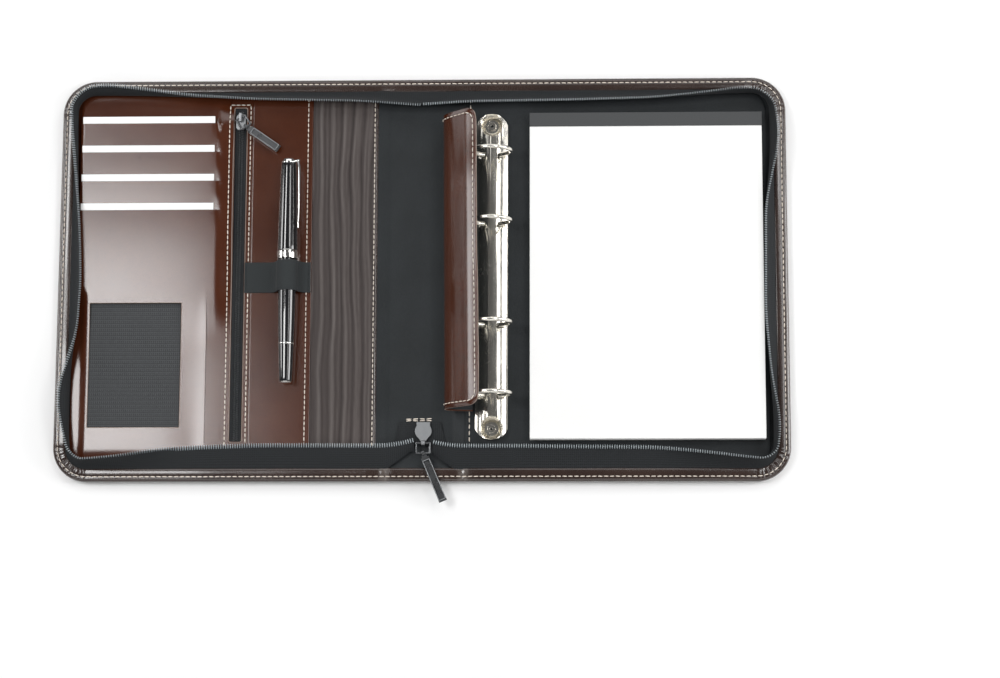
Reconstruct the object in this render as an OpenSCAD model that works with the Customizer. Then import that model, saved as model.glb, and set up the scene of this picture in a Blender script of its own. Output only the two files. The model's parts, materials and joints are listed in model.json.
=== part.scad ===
// Zip-around ring-binder portfolio case, lying open and flat on a table.
// Millimetres. X runs from the front cover (-) to the back cover (+), Y towards
// the top of the pages, Z up. The origin is the centre of the spine, on the table.

/* [Case] */
// Width of the case opened flat
open_width = 467; // [440:1:500]
// Height of the case, top edge to bottom edge
case_height = 261; // [240:1:290]
// Radius of the four outer corners
corner_radius = 22; // [10:1:40]
// Half the distance between the two fold lines: half the closed thickness
fold_half = 24; // [22:0.5:30]
// Width of the leather turned over the edge
turn_in = 8.5; // [6:0.5:14]
// How far in from the edge the standing zip tape is
tape_inset = 13; // [11:0.5:18]

/* [Layers of a cover, heights above the table] */
// Outer leather
leather_top = 1.2; // [0.8:0.1:2]
// Soft padding
foam_top = 2.9; // [2:0.1:4]
// Stiffening board
board_top = 4.4; // [3:0.1:6]
// Lining fabric
liner_top = 5.2; // [4:0.1:7]
// Sewn zip tape
tape_top = 5.8; // [5:0.1:8]
// Turned-over edge
edge_top = 6.8; // [6:0.1:9]

/* [Ring mechanism] */
// Centre line of the mechanism
ring_x = 45; // [42:0.5:50]
// Radius of a ring, to the centre of its wire
ring_radius = 12.4; // [10:0.1:16]
// Radius of the ring wire
wire_r = 1.35; // [1:0.05:2]
// Distance of the two inner rings from the middle
ring_inner = 32.5; // [30:0.5:35]
// Distance of the two outer rings from the middle
ring_outer = 77.5; // [70:0.5:85]

/* [Contents] */
// Slope of the cards in their stepped pockets, degrees
card_tilt = 4.5; // [3:0.5:6]
// Step from one card to the next
card_step = 19; // [15:1:24]
// Top of the note pad
pad_top = 14; // [9:0.5:18]

/* [Hidden] */
$fn = 48;
e = 0.01;
W2 = open_width / 2;
H2 = case_height / 2;
XB = fold_half + 8;    // the covers' stiff layers start here
XL = fold_half + 5;    // the covers' lining starts here
XS = fold_half - 4;    // the spine's stiff layers end here
panel_lo = -106.6;     // the inner panels stop short of the zip tapes
panel_hi = 116.6;
rib = tape_inset;      // inset of the standing tape's outer face
plate_base = liner_top;
ring_z = 26.3;
mech_y = 0.5;
ring_ys = [mech_y - ring_outer, mech_y - ring_inner, mech_y + ring_inner, mech_y + ring_outer];
eyelet_ys = [mech_y - 97.8, mech_y + 97.8];
pivot_dx = 8.4;
pivot_z = 8.0;
card_len = 54;
card_w = 85.6;
card_x = -219.2;
card_top = 105.5;
pen_x = -85;
pen_z = 13.1;
slider_x = 2;
link_z = 8.9;
link_y = -106.3;
tab_yaw = 23;
pull_x = -117.25;
pull_y = 104.5;
pull_z = 10;
pull_yaw = 32;
pull_tab_yaw = 55;
pull_len = 7;

// ---- outlines --------------------------------------------------------------

// Plan of a cover from x0 outwards, shrunk by i, with its outer corners rounded.
module cover2d(x0, i) {
  r = max(corner_radius - i, 2);
  xe = W2 - i;
  ye = H2 - i;
  translate([x0, -ye]) square([xe - r - x0, 2 * ye]);
  translate([x0, -ye + r]) square([xe - x0, 2 * (ye - r)]);
  translate([xe - r, ye - r]) circle(r);
  translate([xe - r, -ye + r]) circle(r);
}

module slab(z0, z1) { translate([0, 0, z0]) linear_extrude(z1 - z0) children(); }

// A band of the cover's plan between two insets.
module band2d(x0, i0, i1) {
  difference() { cover2d(x0, i0); cover2d(x0 - 1, i1); }
}

function nrm(v) = v / norm(v);
// Unit normal of a path at point k, to the left of its direction.
function pn(p, k) = let (a = p[max(k - 1, 0)], b = p[min(k + 1, len(p) - 1)], d = nrm(b - a)) [-d[1], d[0]];
// A strip that follows a path, from offset a to offset b along its normals.
module strip2d(p, a, b) {
  n = len(p);
  polygon(concat([for (k = [0:n - 1]) p[k] + a * pn(p, k)],
                 [for (k = [n - 1:-1:0]) p[k] + b * pn(p, k)]));
}
// A profile drawn in X and Z, swept along Y from y0 to y1.
module along_y(y0, y1) {
  translate([0, y1, 0]) rotate([90, 0, 0]) linear_extrude(y1 - y0) children();
}
module box(x0, x1, y0, y1, z0, z1) { translate([x0, y0, z0]) cube([x1 - x0, y1 - y0, z1 - z0]); }

// ---- the covers ------------------------------------------------------------

module cover_sheet() { slab(0, leather_top) cover2d(XB, 0); }

module edge_binding_half() {
  slab(leather_top, tape_top) band2d(XB, 0, 2.4);
  slab(tape_top, edge_top) band2d(XB, 0, turn_in);
}

module layer_half(z0, z1, i) {
  slab(z0, z1) { cover2d(XB, i); translate([XL, -115]) square([XB - XL + e, 230]); }
}

// The zip tape: a flat sewn band, a standing ribbon on the top and outer sides,
// and a flat ribbon along the bottom.
module zip_tape_half() {
  slab(liner_top, tape_top) {
    band2d(XB, 2.4, rib + 0.6);
    translate([XB, -H2 + 2.4]) square([W2 - XB - corner_radius, 19.5]);
  }
  slab(tape_top, 14.5) intersection() {
    band2d(XB, rib, rib + 0.6);
    translate([XB - 1, -96]) square([W2, 230]);
  }
}

module zip_teeth_half() {
  slab(14.5, 16.3) intersection() {
    band2d(XB, rib - 0.7, rib + 1.3);
    translate([XB - 1, -96]) square([W2, 230]);
  }
  box(XB, W2 - corner_radius, -109, -107, tape_top, 7.4);
}

module back_cover_leather() { color("saddlebrown") cover_sheet(); }
module back_edge_binding() { color("saddlebrown") edge_binding_half(); }
module back_foam_pad() { color("khaki") layer_half(leather_top, foam_top, 2.4); }
module rivet_holes() {
  for (y = eyelet_ys) translate([ring_x, y, foam_top - 1]) cylinder(r = 1.3, h = 8);
}
module back_board() { color("tan") difference() { layer_half(foam_top, board_top, 6); rivet_holes(); } }
module back_liner() {
  color("dimgray") difference() { layer_half(board_top, liner_top, 2.4); rivet_holes(); }
}
module back_zip_tape() { color("black") zip_tape_half(); }
module back_zip_teeth() { color("gray") zip_teeth_half(); }

module front_cover_leather() { color("saddlebrown") mirror([1, 0, 0]) cover_sheet(); }
module front_edge_binding() { color("saddlebrown") mirror([1, 0, 0]) edge_binding_half(); }
module front_foam_pad() { color("khaki") mirror([1, 0, 0]) layer_half(leather_top, foam_top, 2.4); }
module front_board() { color("tan") mirror([1, 0, 0]) layer_half(foam_top, board_top, 6); }
module front_liner() { color("dimgray") mirror([1, 0, 0]) layer_half(board_top, liner_top, 2.4); }
module front_zip_tape() { color("black") mirror([1, 0, 0]) zip_tape_half(); }
module front_zip_teeth() { color("gray") mirror([1, 0, 0]) zip_teeth_half(); }

// ---- the ring mechanism ----------------------------------------------------

arch_w = 10.25;
arch_wall = 9;
arch_top = 12.4;
arch_r = (arch_w * arch_w + pow(arch_top - arch_wall, 2)) / (2 * (arch_top - arch_wall));

// Section of the arched plate: two side walls and a curved roof, grown by g.
module arch2d(g) {
  intersection() {
    translate([-arch_w - g, plate_base - 1]) square([2 * (arch_w + g), 20]);
    translate([0, arch_top - arch_r]) circle(arch_r + g, $fn = 160);
  }
}

module ring_plate() {
  y0 = mech_y - 105;
  y1 = mech_y + 105;
  color("gainsboro") {
    difference() {
      intersection() {
        along_y(y0, y1) translate([ring_x, 0]) arch2d(0);
        slab(plate_base, 20) {
          translate([ring_x, y0 + 11]) circle(11);
          translate([ring_x, y1 - 11]) circle(11);
          translate([ring_x - 12, y0 + 9]) square([24, y1 - y0 - 18]);
        }
      }
      along_y(y0 + 17.5, y1 - 17.5) translate([ring_x, 0]) arch2d(-0.9);
      for (y = ring_ys, s = [-1, 1])
        translate([ring_x + s * 6.1 - 2.5, y - 1.75, 6]) cube([5, 3.5, 10]);
      for (y = eyelet_ys) translate([ring_x, y, plate_base - 1]) {
        cylinder(r = 1.3, h = 10);
        translate([0, 0, 2.2]) cylinder(r1 = 4.4, r2 = 8.2, h = 7);
      }
    }
  }
}

module ring_eyelets() {
  color("silver") for (y = eyelet_ys) translate([ring_x, y, 0])
    difference() {
      union() {
        translate([0, 0, plate_base + 1.2]) cylinder(r = 2.6, h = 1.6);
        translate([0, 0, foam_top]) cylinder(r = 1.28, h = plate_base + 1.3 - foam_top);
      }
      translate([0, 0, foam_top - 1]) cylinder(r = 0.9, h = 8);
    }
}

// One row, s = -1 on the left and 1 on the right: a blade hinged at its outer
// edge, and a half ring at each place, standing in the plate's slots.
module blade(s) {
  translate([ring_x + s * pivot_dx, 0, pivot_z]) {
    translate([0, mech_y - 86.5, 0]) rotate([-90, 0, 0]) cylinder(r = 0.6, h = 173, $fn = 32);
    rotate([0, -s * 10, 0]) translate([s > 0 ? -8.1 : 0, mech_y - 86.5, -0.45]) cube([8.1, 173, 0.9]);
  }
}

module half_rings(s) {
  a0 = 90.9;
  sweep = 244 - a0;
  for (y = ring_ys) translate([ring_x, y, ring_z]) mirror([s > 0 ? 1 : 0, 0, 0]) {
    rotate([90, 0, 0]) rotate([0, 0, a0])
      rotate_extrude(angle = sweep) translate([ring_radius, 0]) circle(wire_r, $fn = 24);
    translate([ring_radius * cos(244), 0, ring_radius * sin(244)]) {
      sphere(wire_r, $fn = 24);
      translate([0, 0, -6.4]) cylinder(r = wire_r, h = 6.4, $fn = 24);
    }
  }
}

module ring_blade_left() { color("silver") blade(-1); }
module ring_blade_right() { color("silver") blade(1); }
module ring_halves_left() {
  color("gainsboro") difference() { half_rings(-1); blade(-1); }
}
module ring_halves_right() {
  color("gainsboro") difference() { half_rings(1); blade(1); }
}

// The leather flap that is sewn beside the mechanism and folds back over the rings.
flap_path = [[34, 6.25], [27, 6.7], [19.5, 8.6], [15.4, 12.2], [14.4, 16.5], [16.9, 21.8], [20.6, 26.4],
             [25, 30.5], [30.6, 35], [36.5, 39]];
module flap(a, b) {
  difference() {
    along_y(-83, 103) strip2d(flap_path, a, b);
    for (s = [0, 1]) translate([0, s ? 103 : -83, 0]) mirror([0, s, 0])
      translate([37.5 - 8, 0, 24]) difference() {
        translate([0, -1, 0]) cube([10, 9, 30]);
        translate([0, 8, -1]) cylinder(r = 8, h = 32);
      }
  }
}
module ring_flap_leather() { color("sienna") flap(-0.15, 0.75); }
module ring_flap_lining() { color("dimgray") flap(-0.75, -0.15); }

// ---- the note pad ----------------------------------------------------------

module pad_backing_board() { color("gray") box(69.2, 217.4, -104.4, 105.5, liner_top + 0.05, 6.05); }
module pad_paper() { color("white") box(69.2, 217.4, -104.4, 104.9, 6.05, pad_top); }
module pad_binding_strip() {
  color("lightgray") {
    box(69.2, 217.4, 104.9, 105.5, 6.05, pad_top + 0.4);
    box(69.2, 217.4, 96.5, 104.9, pad_top, pad_top + 0.4);
  }
}

// ---- the spine -------------------------------------------------------------

module edge_strips(x0, x1) {
  for (s = [0, 1]) mirror([0, s, 0]) {
    box(x0, x1, H2 - 2.4, H2, leather_top, tape_top);
    box(x0, x1, H2 - turn_in, H2, tape_top, edge_top);
  }
}
module spine_leather() { color("saddlebrown") box(-XS, XS, -H2, H2, 0, leather_top); }
module spine_edge_binding() { color("saddlebrown") edge_strips(-XS, XS); }
module spine_padding() { color("khaki") box(-XS, XS, -H2 + 2.4, H2 - 2.4, leather_top, 2.6); }
module spine_liner() { color("dimgray") box(-XS, XS, -H2 + 2.4, H2 - 2.4, 2.6, 3.4); }
module hinge_leather_back() {
  color("saddlebrown") { box(XS, XB, -H2, H2, 0, leather_top); edge_strips(XS, XB); }
}
module hinge_leather_front() { color("saddlebrown") mirror([1, 0, 0]) hinge_leather_back(); }
module hinge_liner_back() {
  color("dimgray") along_y(-H2 + 2.4, H2 - 2.4)
    polygon([[XS, 2.6], [XL, board_top], [XL, liner_top], [XS, 3.4]]);
}
module hinge_liner_front() { color("dimgray") mirror([1, 0, 0]) hinge_liner_back(); }

module spine_zip_tape() {
  color("black") {
    box(-XB, XB, H2 - rib - 0.6, H2 - 2.4, liner_top, tape_top);
    box(-XB, XB, H2 - rib - 0.6, H2 - rib, tape_top, 14.5);
  }
}
module spine_zip_teeth() {
  color("gray") {
    box(-XB, XB, H2 - rib - 1.3, H2 - rib + 0.7, 14.5, 16.3);
    for (s = [0, 1]) translate([slider_x, 0, 0]) mirror([s, 0, 0])
      slab(tape_top, 7.2)
        polygon([[6.4, -104.7], [XB + (s ? 2 : -2), -107], [XB + (s ? 2 : -2), -109], [6.4, -106.7]]);
  }
}
// The two tapes meet behind the slider, then fan out and fold down to the edge.
module mouth_zip_tape() {
  color("black") slab(liner_top, tape_top) difference() {
    union() {
      polygon([[-16, -93.5], [14, -93.5], [21, -107], [-22, -107]]);
      polygon([[-XB, -107], [-6, -107], [-22, -119], [-26, -121.6], [-26, -H2 + 2.4], [-XB, -H2 + 2.4]]);
      polygon([[XB, -107], [9, -107], [25, -119], [29, -121.6], [29, -H2 + 2.4], [XB, -H2 + 2.4]]);
    }
    translate([slider_x - 2.4, -102.7]) square([4.8, 20]);
    polygon([[slider_x, -101.6], [slider_x - 6, -108.4], [slider_x + 6, -108.4]]);
  }
}
module mouth_zip_chain() {
  color("gray") box(slider_x - 2.3, slider_x + 2.3, -102.6, -93.6, 4.8, 6.8);
}
module mouth_bartack() { color("ivory") box(-9.5, 7.5, -91.2, -89.8, 3.4, 3.95); }

// ---- the main slider and its pull ------------------------------------------

// Plan of the slider: a flat end, round shoulders and a short nose.
module slider2d(g) {
  intersection() {
    union() {
      translate([0, -98.6]) circle(5.25 + g);
      translate([-4.2 - g, -98]) square([8.4 + 2 * g, 5]);
      polygon([[-4.9 - g, -100.5], [4.9 + g, -100.5], [1.6 + g, -105], [-1.6 - g, -105]]);
    }
    translate([-8, -106]) square([16, 13]);
  }
}
module zip_slider_body() {
  color("darkgray") translate([slider_x, 0, 0]) difference() {
    union() {
      slab(3.8, 4.6) slider2d(0);
      slab(7.1, 8.1) slider2d(0);
      for (z = [[4.6, 4.95], [6.1, 7.1]]) slab(z[0], z[1]) intersection() {
        slider2d(0);
        union() { translate([-6, -103]) square([2.8, 9.5]); translate([3.2, -103]) square([2.8, 9.5]); }
      }
      translate([0, -104, 4.6]) cylinder(r = 0.9, h = 2.5);
      translate([-1.1, link_y, link_z]) rotate([0, 90, 0]) cylinder(r = 1.6, h = 2.2);
      box(-1.1, 1.1, -106, -104.4, 7.1, 8.1);
    }
    translate([-3, link_y, link_z]) rotate([0, 90, 0]) cylinder(r = 0.68, h = 6, $fn = 32);
  }
}

// A closed loop of wire: two cross bars and two sides, corners rounded by balls.
module wire_loop(w, l, r) {
  for (x = [-w / 2, w / 2]) {
    translate([x, 0, 0]) sphere(r, $fn = 24);
    translate([x, -l, 0]) sphere(r, $fn = 24);
    translate([x, 0, 0]) rotate([90, 0, 0]) cylinder(r = r, h = l, $fn = 24);
  }
  for (y = [0, -l]) translate([-w / 2, y, 0]) rotate([0, 90, 0]) cylinder(r = r, h = w, $fn = 24);
}
module zip_link_wire() { color("silver") translate([slider_x, link_y, link_z]) wire_loop(8.4, 6.4, 0.6); }

// A pull tab that hangs on an eye at its own origin and points along -Y.
module tab(l, w) {
  difference() {
    union() {
      translate([-0.9, 0, 0]) rotate([0, 90, 0]) cylinder(r = 1.85, h = 1.8);
      box(-1.6, 1.6, -4, -1.2, -0.5, 0.5);
      slab(-0.6, 0.6) {
        translate([-w / 2, -l]) square([w, l - 3]);
      }
      slab(0.6, 0.85) difference() {
        translate([-w / 2, -l]) square([w, l - 3]);
        translate([-w / 2 + 0.6, -l + 0.6]) square([w - 1.2, l - 4.2]);
      }
    }
    translate([-3, 0, 0]) rotate([0, 90, 0]) cylinder(r = 1.22, h = 6);
  }
}
module zip_pull_tab() {
  color("dimgray") translate([slider_x, link_y - 6.4, link_z]) rotate([0, 0, tab_yaw]) tab(33, 5.2);
}

// ---- the front cover's organiser -------------------------------------------

// Moves its children into the plane of card k, y measured up from its lower edge.
module card_plane(k) {
  translate([0, card_top - card_len * cos(card_tilt) - (k - 1) * card_step, 5.85])
    rotate([card_tilt, 0, 0]) children();
}
module card(k) { color("white") card_plane(k) box(card_x, card_x + card_w, 0, card_len, 0, 0.76); }
module card_1() card(1);
module card_2() card(2);
module card_3() card(3);
module card_4() card(4);

// Trims a panel to the plan of the rounded zip tape around it.
module inside_tapes() {
  intersection() {
    union() { children(); }
    slab(0, 40) mirror([1, 0, 0]) cover2d(60, rib + 0.8);
  }
}

module card_pocket_strips() {
  color("sienna") inside_tapes() {
    card_plane(1) box(-219.9, -131, 6.4, 64, -0.62, -0.12);
    for (k = [1:3]) card_plane(k) box(-219.9, -131, 1, card_len - 4.5, 0.86, 1.36);
  }
}

module card_pocket_panel() {
  color("sienna") inside_tapes() {
    box(-219.9, -121.2, panel_lo, panel_hi, liner_top, 5.7);
    difference() {
      box(-130.6, -109.5, panel_lo, panel_hi, 5.7, 6.5);
      box(-121.2, -113.6, -105, 111.5, 5, 8);
    }
    box(-113.6, -109.5, panel_lo, panel_hi, liner_top, 5.7);
    box(-121.2, -113.6, 111.5, panel_hi, liner_top, 5.7);
    box(-121.2, -113.6, panel_lo, -105, liner_top, 5.7);
    // the big lower pocket, sewn on three sides and open towards the spine
    difference() {
      box(-219.9, -137, panel_lo, -6.5, 6.05, 6.85);
      box(-212, -153, -96, -16, 6, 7);
    }
    box(-219.9, -217.4, panel_lo, -6.5, 5.7, 6.05);
    box(-217.4, -137, panel_lo, -104.2, 5.7, 6.05);
    box(-217.4, -137, -8.6, -6.5, 5.7, 6.05);
    card_plane(4) box(-219.9, -131, -3, card_len - 4.5, 0.86, 1.46);
  }
}
module id_window_mesh() { color("black") box(-214, -151, -98, -14, 5.72, 6.03); }

module pocket_zip_tape() { color("black") box(-120.9, -113.9, -104.8, 111.3, liner_top, 5.7); }
module pocket_zip_teeth() { color("gray") box(-118.6, -115.9, -104.6, 109.5, 5.7, 7.0); }

module pen_panel() { color("sienna") box(-109.3, -70.5, panel_lo, panel_hi, liner_top, 6.4); }

loop_r = 6.65;
loop_path = concat([[-113.4, 7], [-95.2, 7], [-93.6, 8.6], [-92.4, 11.2]],
  [for (a = [165:-15:15]) [pen_x + loop_r * cos(a), pen_z + loop_r * sin(a)]],
  [[-77.6, 11.2], [-76.4, 8.6], [-74.8, 7], [-70.6, 7]]);
module pen_loop() {
  color("black") along_y(-9.5, 10) strip2d(loop_path, -0.5, 0.5);
}

// Cloth lining that stands in soft vertical ripples.
module rippled_lining() {
  color("rosybrown") along_y(panel_lo, panel_hi)
    polygon(concat([[-70.3, liner_top], [-XL, liner_top]],
      [for (k = [0:40]) let (x = -XL - k * (70.3 - XL) / 40) [x, 5.85 + 0.22 * sin(k * 72)]]));
}

// ---- the pen ---------------------------------------------------------------

module pen_along(y0) { translate([pen_x, y0, pen_z]) rotate([90, 0, 0]) children(); }
module pen_cap() {
  color("black") {
    pen_along(73.5) cylinder(r1 = 4.7, r2 = 6.3, h = 57);
  }
}
module pen_barrel() {
  color("black") {
    pen_along(11) cylinder(r1 = 5.75, r2 = 5.75, h = 12);
    pen_along(-1) cylinder(r1 = 5.75, r2 = 4.1, h = 66.7);
  }
}
module pen_trim() {
  color("silver") {
    pen_along(76.5) cylinder(r1 = 3.4, r2 = 4.5, h = 3);
    pen_along(16.5) cylinder(r = 6.5, h = 5.5);
    pen_along(-67.7) cylinder(r1 = 4.0, r2 = 2.6, h = 1.2);
    translate([pen_x, 0, pen_z]) rotate([0, -30, 0]) {
      box(3.2, 8.3, 73.6, 75, -1.4, 1.4);
      box(7.3, 8.3, 30, 75, -1.4, 1.4);
      box(6.1, 8.3, 30, 32.5, -1.1, 1.1);
    }
  }
}

// ---- the inner pocket's slider and pull ------------------------------------

module pocket_slider_body() {
  color("darkgray") translate([pull_x, 0, 0]) {
    slab(7.25, 8.05) {
      translate([-3, 98.5]) square([6, 6]);
      translate([0, 104.7]) circle(3);
      polygon([[-3, 98.6], [3, 98.6], [1.9, 97.2], [-1.9, 97.2]]);
    }
    for (x = [-3, 1.8]) box(x, x + 1.2, 98.6, 105, 6.0, 7.25);
    box(-0.8, 0.8, 102, 103, 8.05, 11.7);
    box(-0.8, 0.8, 106.4, 107.4, 8.05, 11.7);
    box(-0.8, 0.8, 102, 107.4, 10.9, 11.7);
  }
}
module pocket_link_wire() {
  color("silver") translate([pull_x, pull_y, pull_z]) rotate([0, 0, pull_yaw])
    wire_loop(6.7, pull_len, 0.6);
}
module pocket_pull_tab() {
  color("dimgray") translate([pull_x + pull_len * sin(pull_yaw), pull_y - pull_len * cos(pull_yaw), pull_z])
    rotate([0, 0, pull_tab_yaw]) tab(26, 4.8);
}

// ---- output ----------------------------------------------------------------
back_cover_leather();
back_edge_binding();
back_foam_pad();
back_board();
back_liner();
back_zip_tape();
back_zip_teeth();
ring_plate();
ring_eyelets();
ring_blade_left();
ring_halves_left();
ring_blade_right();
ring_halves_right();
ring_flap_leather();
ring_flap_lining();
pad_backing_board();
pad_paper();
pad_binding_strip();
spine_leather();
spine_edge_binding();
spine_padding();
spine_liner();
hinge_leather_back();
hinge_leather_front();
hinge_liner_back();
hinge_liner_front();
spine_zip_tape();
spine_zip_teeth();
mouth_zip_tape();
mouth_zip_chain();
mouth_bartack();
zip_slider_body();
zip_link_wire();
zip_pull_tab();
front_cover_leather();
front_edge_binding();
front_foam_pad();
front_board();
front_liner();
front_zip_tape();
front_zip_teeth();
card_pocket_strips();
card_pocket_panel();
id_window_mesh();
pocket_zip_tape();
pocket_zip_teeth();
pen_panel();
pen_loop();
rippled_lining();
card_1();
card_2();
card_3();
card_4();
pen_cap();
pen_barrel();
pen_trim();
pocket_slider_body();
pocket_link_wire();
pocket_pull_tab();
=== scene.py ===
"""A zip-round leather ring binder, lying open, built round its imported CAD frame.

Lengths in this script are millimetres in the CAD frame and become metres when a mesh is made.
"""

import json
import math

import bmesh
import bpy
import numpy as np
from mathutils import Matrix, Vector

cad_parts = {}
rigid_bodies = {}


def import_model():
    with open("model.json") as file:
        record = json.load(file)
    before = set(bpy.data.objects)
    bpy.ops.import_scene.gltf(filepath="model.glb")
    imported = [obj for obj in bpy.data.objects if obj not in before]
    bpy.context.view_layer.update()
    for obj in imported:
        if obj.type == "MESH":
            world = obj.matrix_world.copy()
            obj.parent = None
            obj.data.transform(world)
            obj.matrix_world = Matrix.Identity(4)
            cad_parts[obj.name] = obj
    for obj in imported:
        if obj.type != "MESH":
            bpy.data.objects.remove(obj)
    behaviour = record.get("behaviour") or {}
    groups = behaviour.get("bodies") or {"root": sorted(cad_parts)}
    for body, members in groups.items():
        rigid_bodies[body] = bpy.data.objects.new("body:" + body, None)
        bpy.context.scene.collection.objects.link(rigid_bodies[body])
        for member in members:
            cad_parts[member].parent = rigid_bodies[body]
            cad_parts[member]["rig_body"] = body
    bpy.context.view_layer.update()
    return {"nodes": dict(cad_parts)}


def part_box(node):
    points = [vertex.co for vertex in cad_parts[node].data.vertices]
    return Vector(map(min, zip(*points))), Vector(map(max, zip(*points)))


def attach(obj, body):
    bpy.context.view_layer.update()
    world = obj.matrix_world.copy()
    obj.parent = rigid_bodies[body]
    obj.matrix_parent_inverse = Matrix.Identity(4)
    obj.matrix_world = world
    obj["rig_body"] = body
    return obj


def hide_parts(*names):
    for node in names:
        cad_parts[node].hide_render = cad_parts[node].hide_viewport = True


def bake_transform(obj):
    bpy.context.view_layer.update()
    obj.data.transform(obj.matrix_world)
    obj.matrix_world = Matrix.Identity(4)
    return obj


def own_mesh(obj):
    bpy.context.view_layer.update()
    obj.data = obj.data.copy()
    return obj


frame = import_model()
NODES = frame["nodes"]
MM = 0.001


def extent(node):
    """Lowest and highest corner of a CAD node in millimetres."""
    low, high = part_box(node)
    return np.array(low) / MM, np.array(high) / MM


# ---- driving values, in millimetres ------------------------------------------

HALF_WIDTH, HALF_HEIGHT = extent("back_cover_leather")[1][:2]
CORNER = 22.0  # corner radius of the open case
LEATHER = 0.9  # thickness of the outer leather
STITCH_PITCH = 3.7
STITCH_INSET = 3.3
TAPE_ROOT = 7.6  # inset where the zip tape leaves the border
TAPE_WIDTH = 13.4
TOOTH_PITCH = 1.5
SLIDER_X = 2.0
PANEL_LOW, PANEL_HIGH = -109.5, 120.0  # the organiser's sewn panels, along Y
TAPE_FOOT = 5.9  # height at which the zip tape leaves the border
SEAM_ANGLE = math.radians(42)  # a sharper turn between faces shades as an edge
UPWARD, DOWNWARD = (0, 0, 1), (0, 0, -1)

ALONG_BOTTOM = HALF_WIDTH - CORNER  # straight run from the middle to the corner
ROUND_CORNER = CORNER * math.pi / 2
ALONG_SIDE = 2 * (HALF_HEIGHT - CORNER)
HALF_RUN = 2 * ALONG_BOTTOM + 2 * ROUND_CORNER + ALONG_SIDE


# ---- meshes ------------------------------------------------------------------


def make_mesh(name, points, faces, smooth=True):
    """A mesh object from points in millimetres and faces; it sits at the origin."""
    mesh = bpy.data.meshes.new(name)
    mesh.from_pydata((np.asarray(points, float) * MM).tolist(), [], [list(f) for f in faces])
    mesh.polygons.foreach_set("use_smooth", [smooth] * len(mesh.polygons))
    mesh.update()
    obj = bpy.data.objects.new(name, mesh)
    bpy.context.scene.collection.objects.link(obj)
    return obj


def grid_quads(rows, columns, wrap=False):
    """Quads of a rows x columns grid of points; wrap joins the last column to the first."""
    i = np.arange(rows - 1)[:, None]
    j = np.arange(columns if wrap else columns - 1)[None, :]
    k = (j + 1) % columns
    quads = np.stack([i * columns + j, i * columns + k, (i + 1) * columns + k, (i + 1) * columns + j], -1)
    return quads.reshape(-1, 4)


def weld(obj, distance=0.004, outward=True):
    """Merges points that meet and, on a closed shell, turns every face outward."""
    bm = bmesh.new()
    bm.from_mesh(obj.data)
    bmesh.ops.remove_doubles(bm, verts=bm.verts, dist=distance * MM)
    if outward:
        bmesh.ops.recalc_face_normals(bm, faces=bm.faces)
    bm.to_mesh(obj.data)
    bm.free()
    return obj


def faces_of(obj):
    """Each face's normal times its area, and its centre."""
    faces = obj.data.polygons
    return np.array([f.normal * f.area for f in faces]), np.array([f.center for f in faces])


def face_up(obj):
    """Turns an open sheet's faces so that their sum points up."""
    if faces_of(obj)[0][:, 2].sum() < 0:
        obj.data.flip_normals()
    return obj


def thicken(obj, thickness, raw_edge=False):
    """A Solidify wall below the face side, its cut rim in the second material."""
    wall = obj.modifiers.new("wall", "SOLIDIFY")
    wall.thickness = thickness * MM
    wall.offset = -1.0
    wall.use_even_offset = False
    if raw_edge:
        wall.material_offset_rim = 1
    return obj


def settle(obj):
    """Makes the wall part of the mesh and keeps its cut edges crisp, so faces shade flat up to a seam."""
    bpy.context.view_layer.update()
    solid = bpy.data.meshes.new_from_object(obj.evaluated_get(bpy.context.evaluated_depsgraph_get()))
    obj.modifiers.clear()
    obj.data = solid
    solid.set_sharp_from_angle(angle=SEAM_ANGLE)
    return obj


def sheet_from_grid(name, points, thickness, hole=None, raw_edge=False, uv=None, loose=False):
    """An open sheet on a grid of points, with the faces that hole marks left out, then thickened.

    points is rows x columns x 3; hole is a rows-1 x columns-1 mask. Points that meet are joined."""
    rows, columns = points.shape[:2]
    quads = grid_quads(rows, columns)
    if hole is not None:
        quads = quads[~hole.reshape(-1)]
    used = np.unique(quads)
    index = np.full(rows * columns, -1)
    index[used] = np.arange(len(used))
    obj = make_mesh(name, points.reshape(-1, 3)[used], index[quads])
    if uv is not None:
        set_uv(obj, uv.reshape(-1, 2)[used])
    else:
        weld(obj, 0.002, outward=False)
    face_up(obj)
    thicken(obj, thickness, raw_edge)
    if loose:
        return obj
    if raw_edge:
        obj.data.materials.append(RAW_EDGE)
        obj.data.materials.append(RAW_EDGE)
    return settle(obj)


def set_uv(obj, per_point):
    """Writes a UV map in metres from one pair per point."""
    mesh = obj.data
    loops = np.zeros(len(mesh.loops), int)
    mesh.loops.foreach_get("vertex_index", loops)
    layer = mesh.uv_layers.new(name="run")
    layer.data.foreach_set("uv", (np.asarray(per_point)[loops] * MM).reshape(-1))


def loft(name, rings, loop=False):
    """A skin through closed rings, ends capped with one face each; loop joins the last ring to the first."""
    rings = np.asarray(rings, float)
    count, around = rings.shape[:2]
    faces = [tuple(q) for q in grid_quads(count, around, wrap=True)]
    if loop:
        j = np.arange(around)
        k = (j + 1) % around
        last = (count - 1) * around
        faces += [tuple(q) for q in np.stack([last + j, last + k, k, j], -1)]
    else:
        faces += [tuple(range(around))[::-1], tuple(range((count - 1) * around, count * around))]
    return weld(make_mesh(name, rings.reshape(-1, 3), faces), 0.0005)


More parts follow.
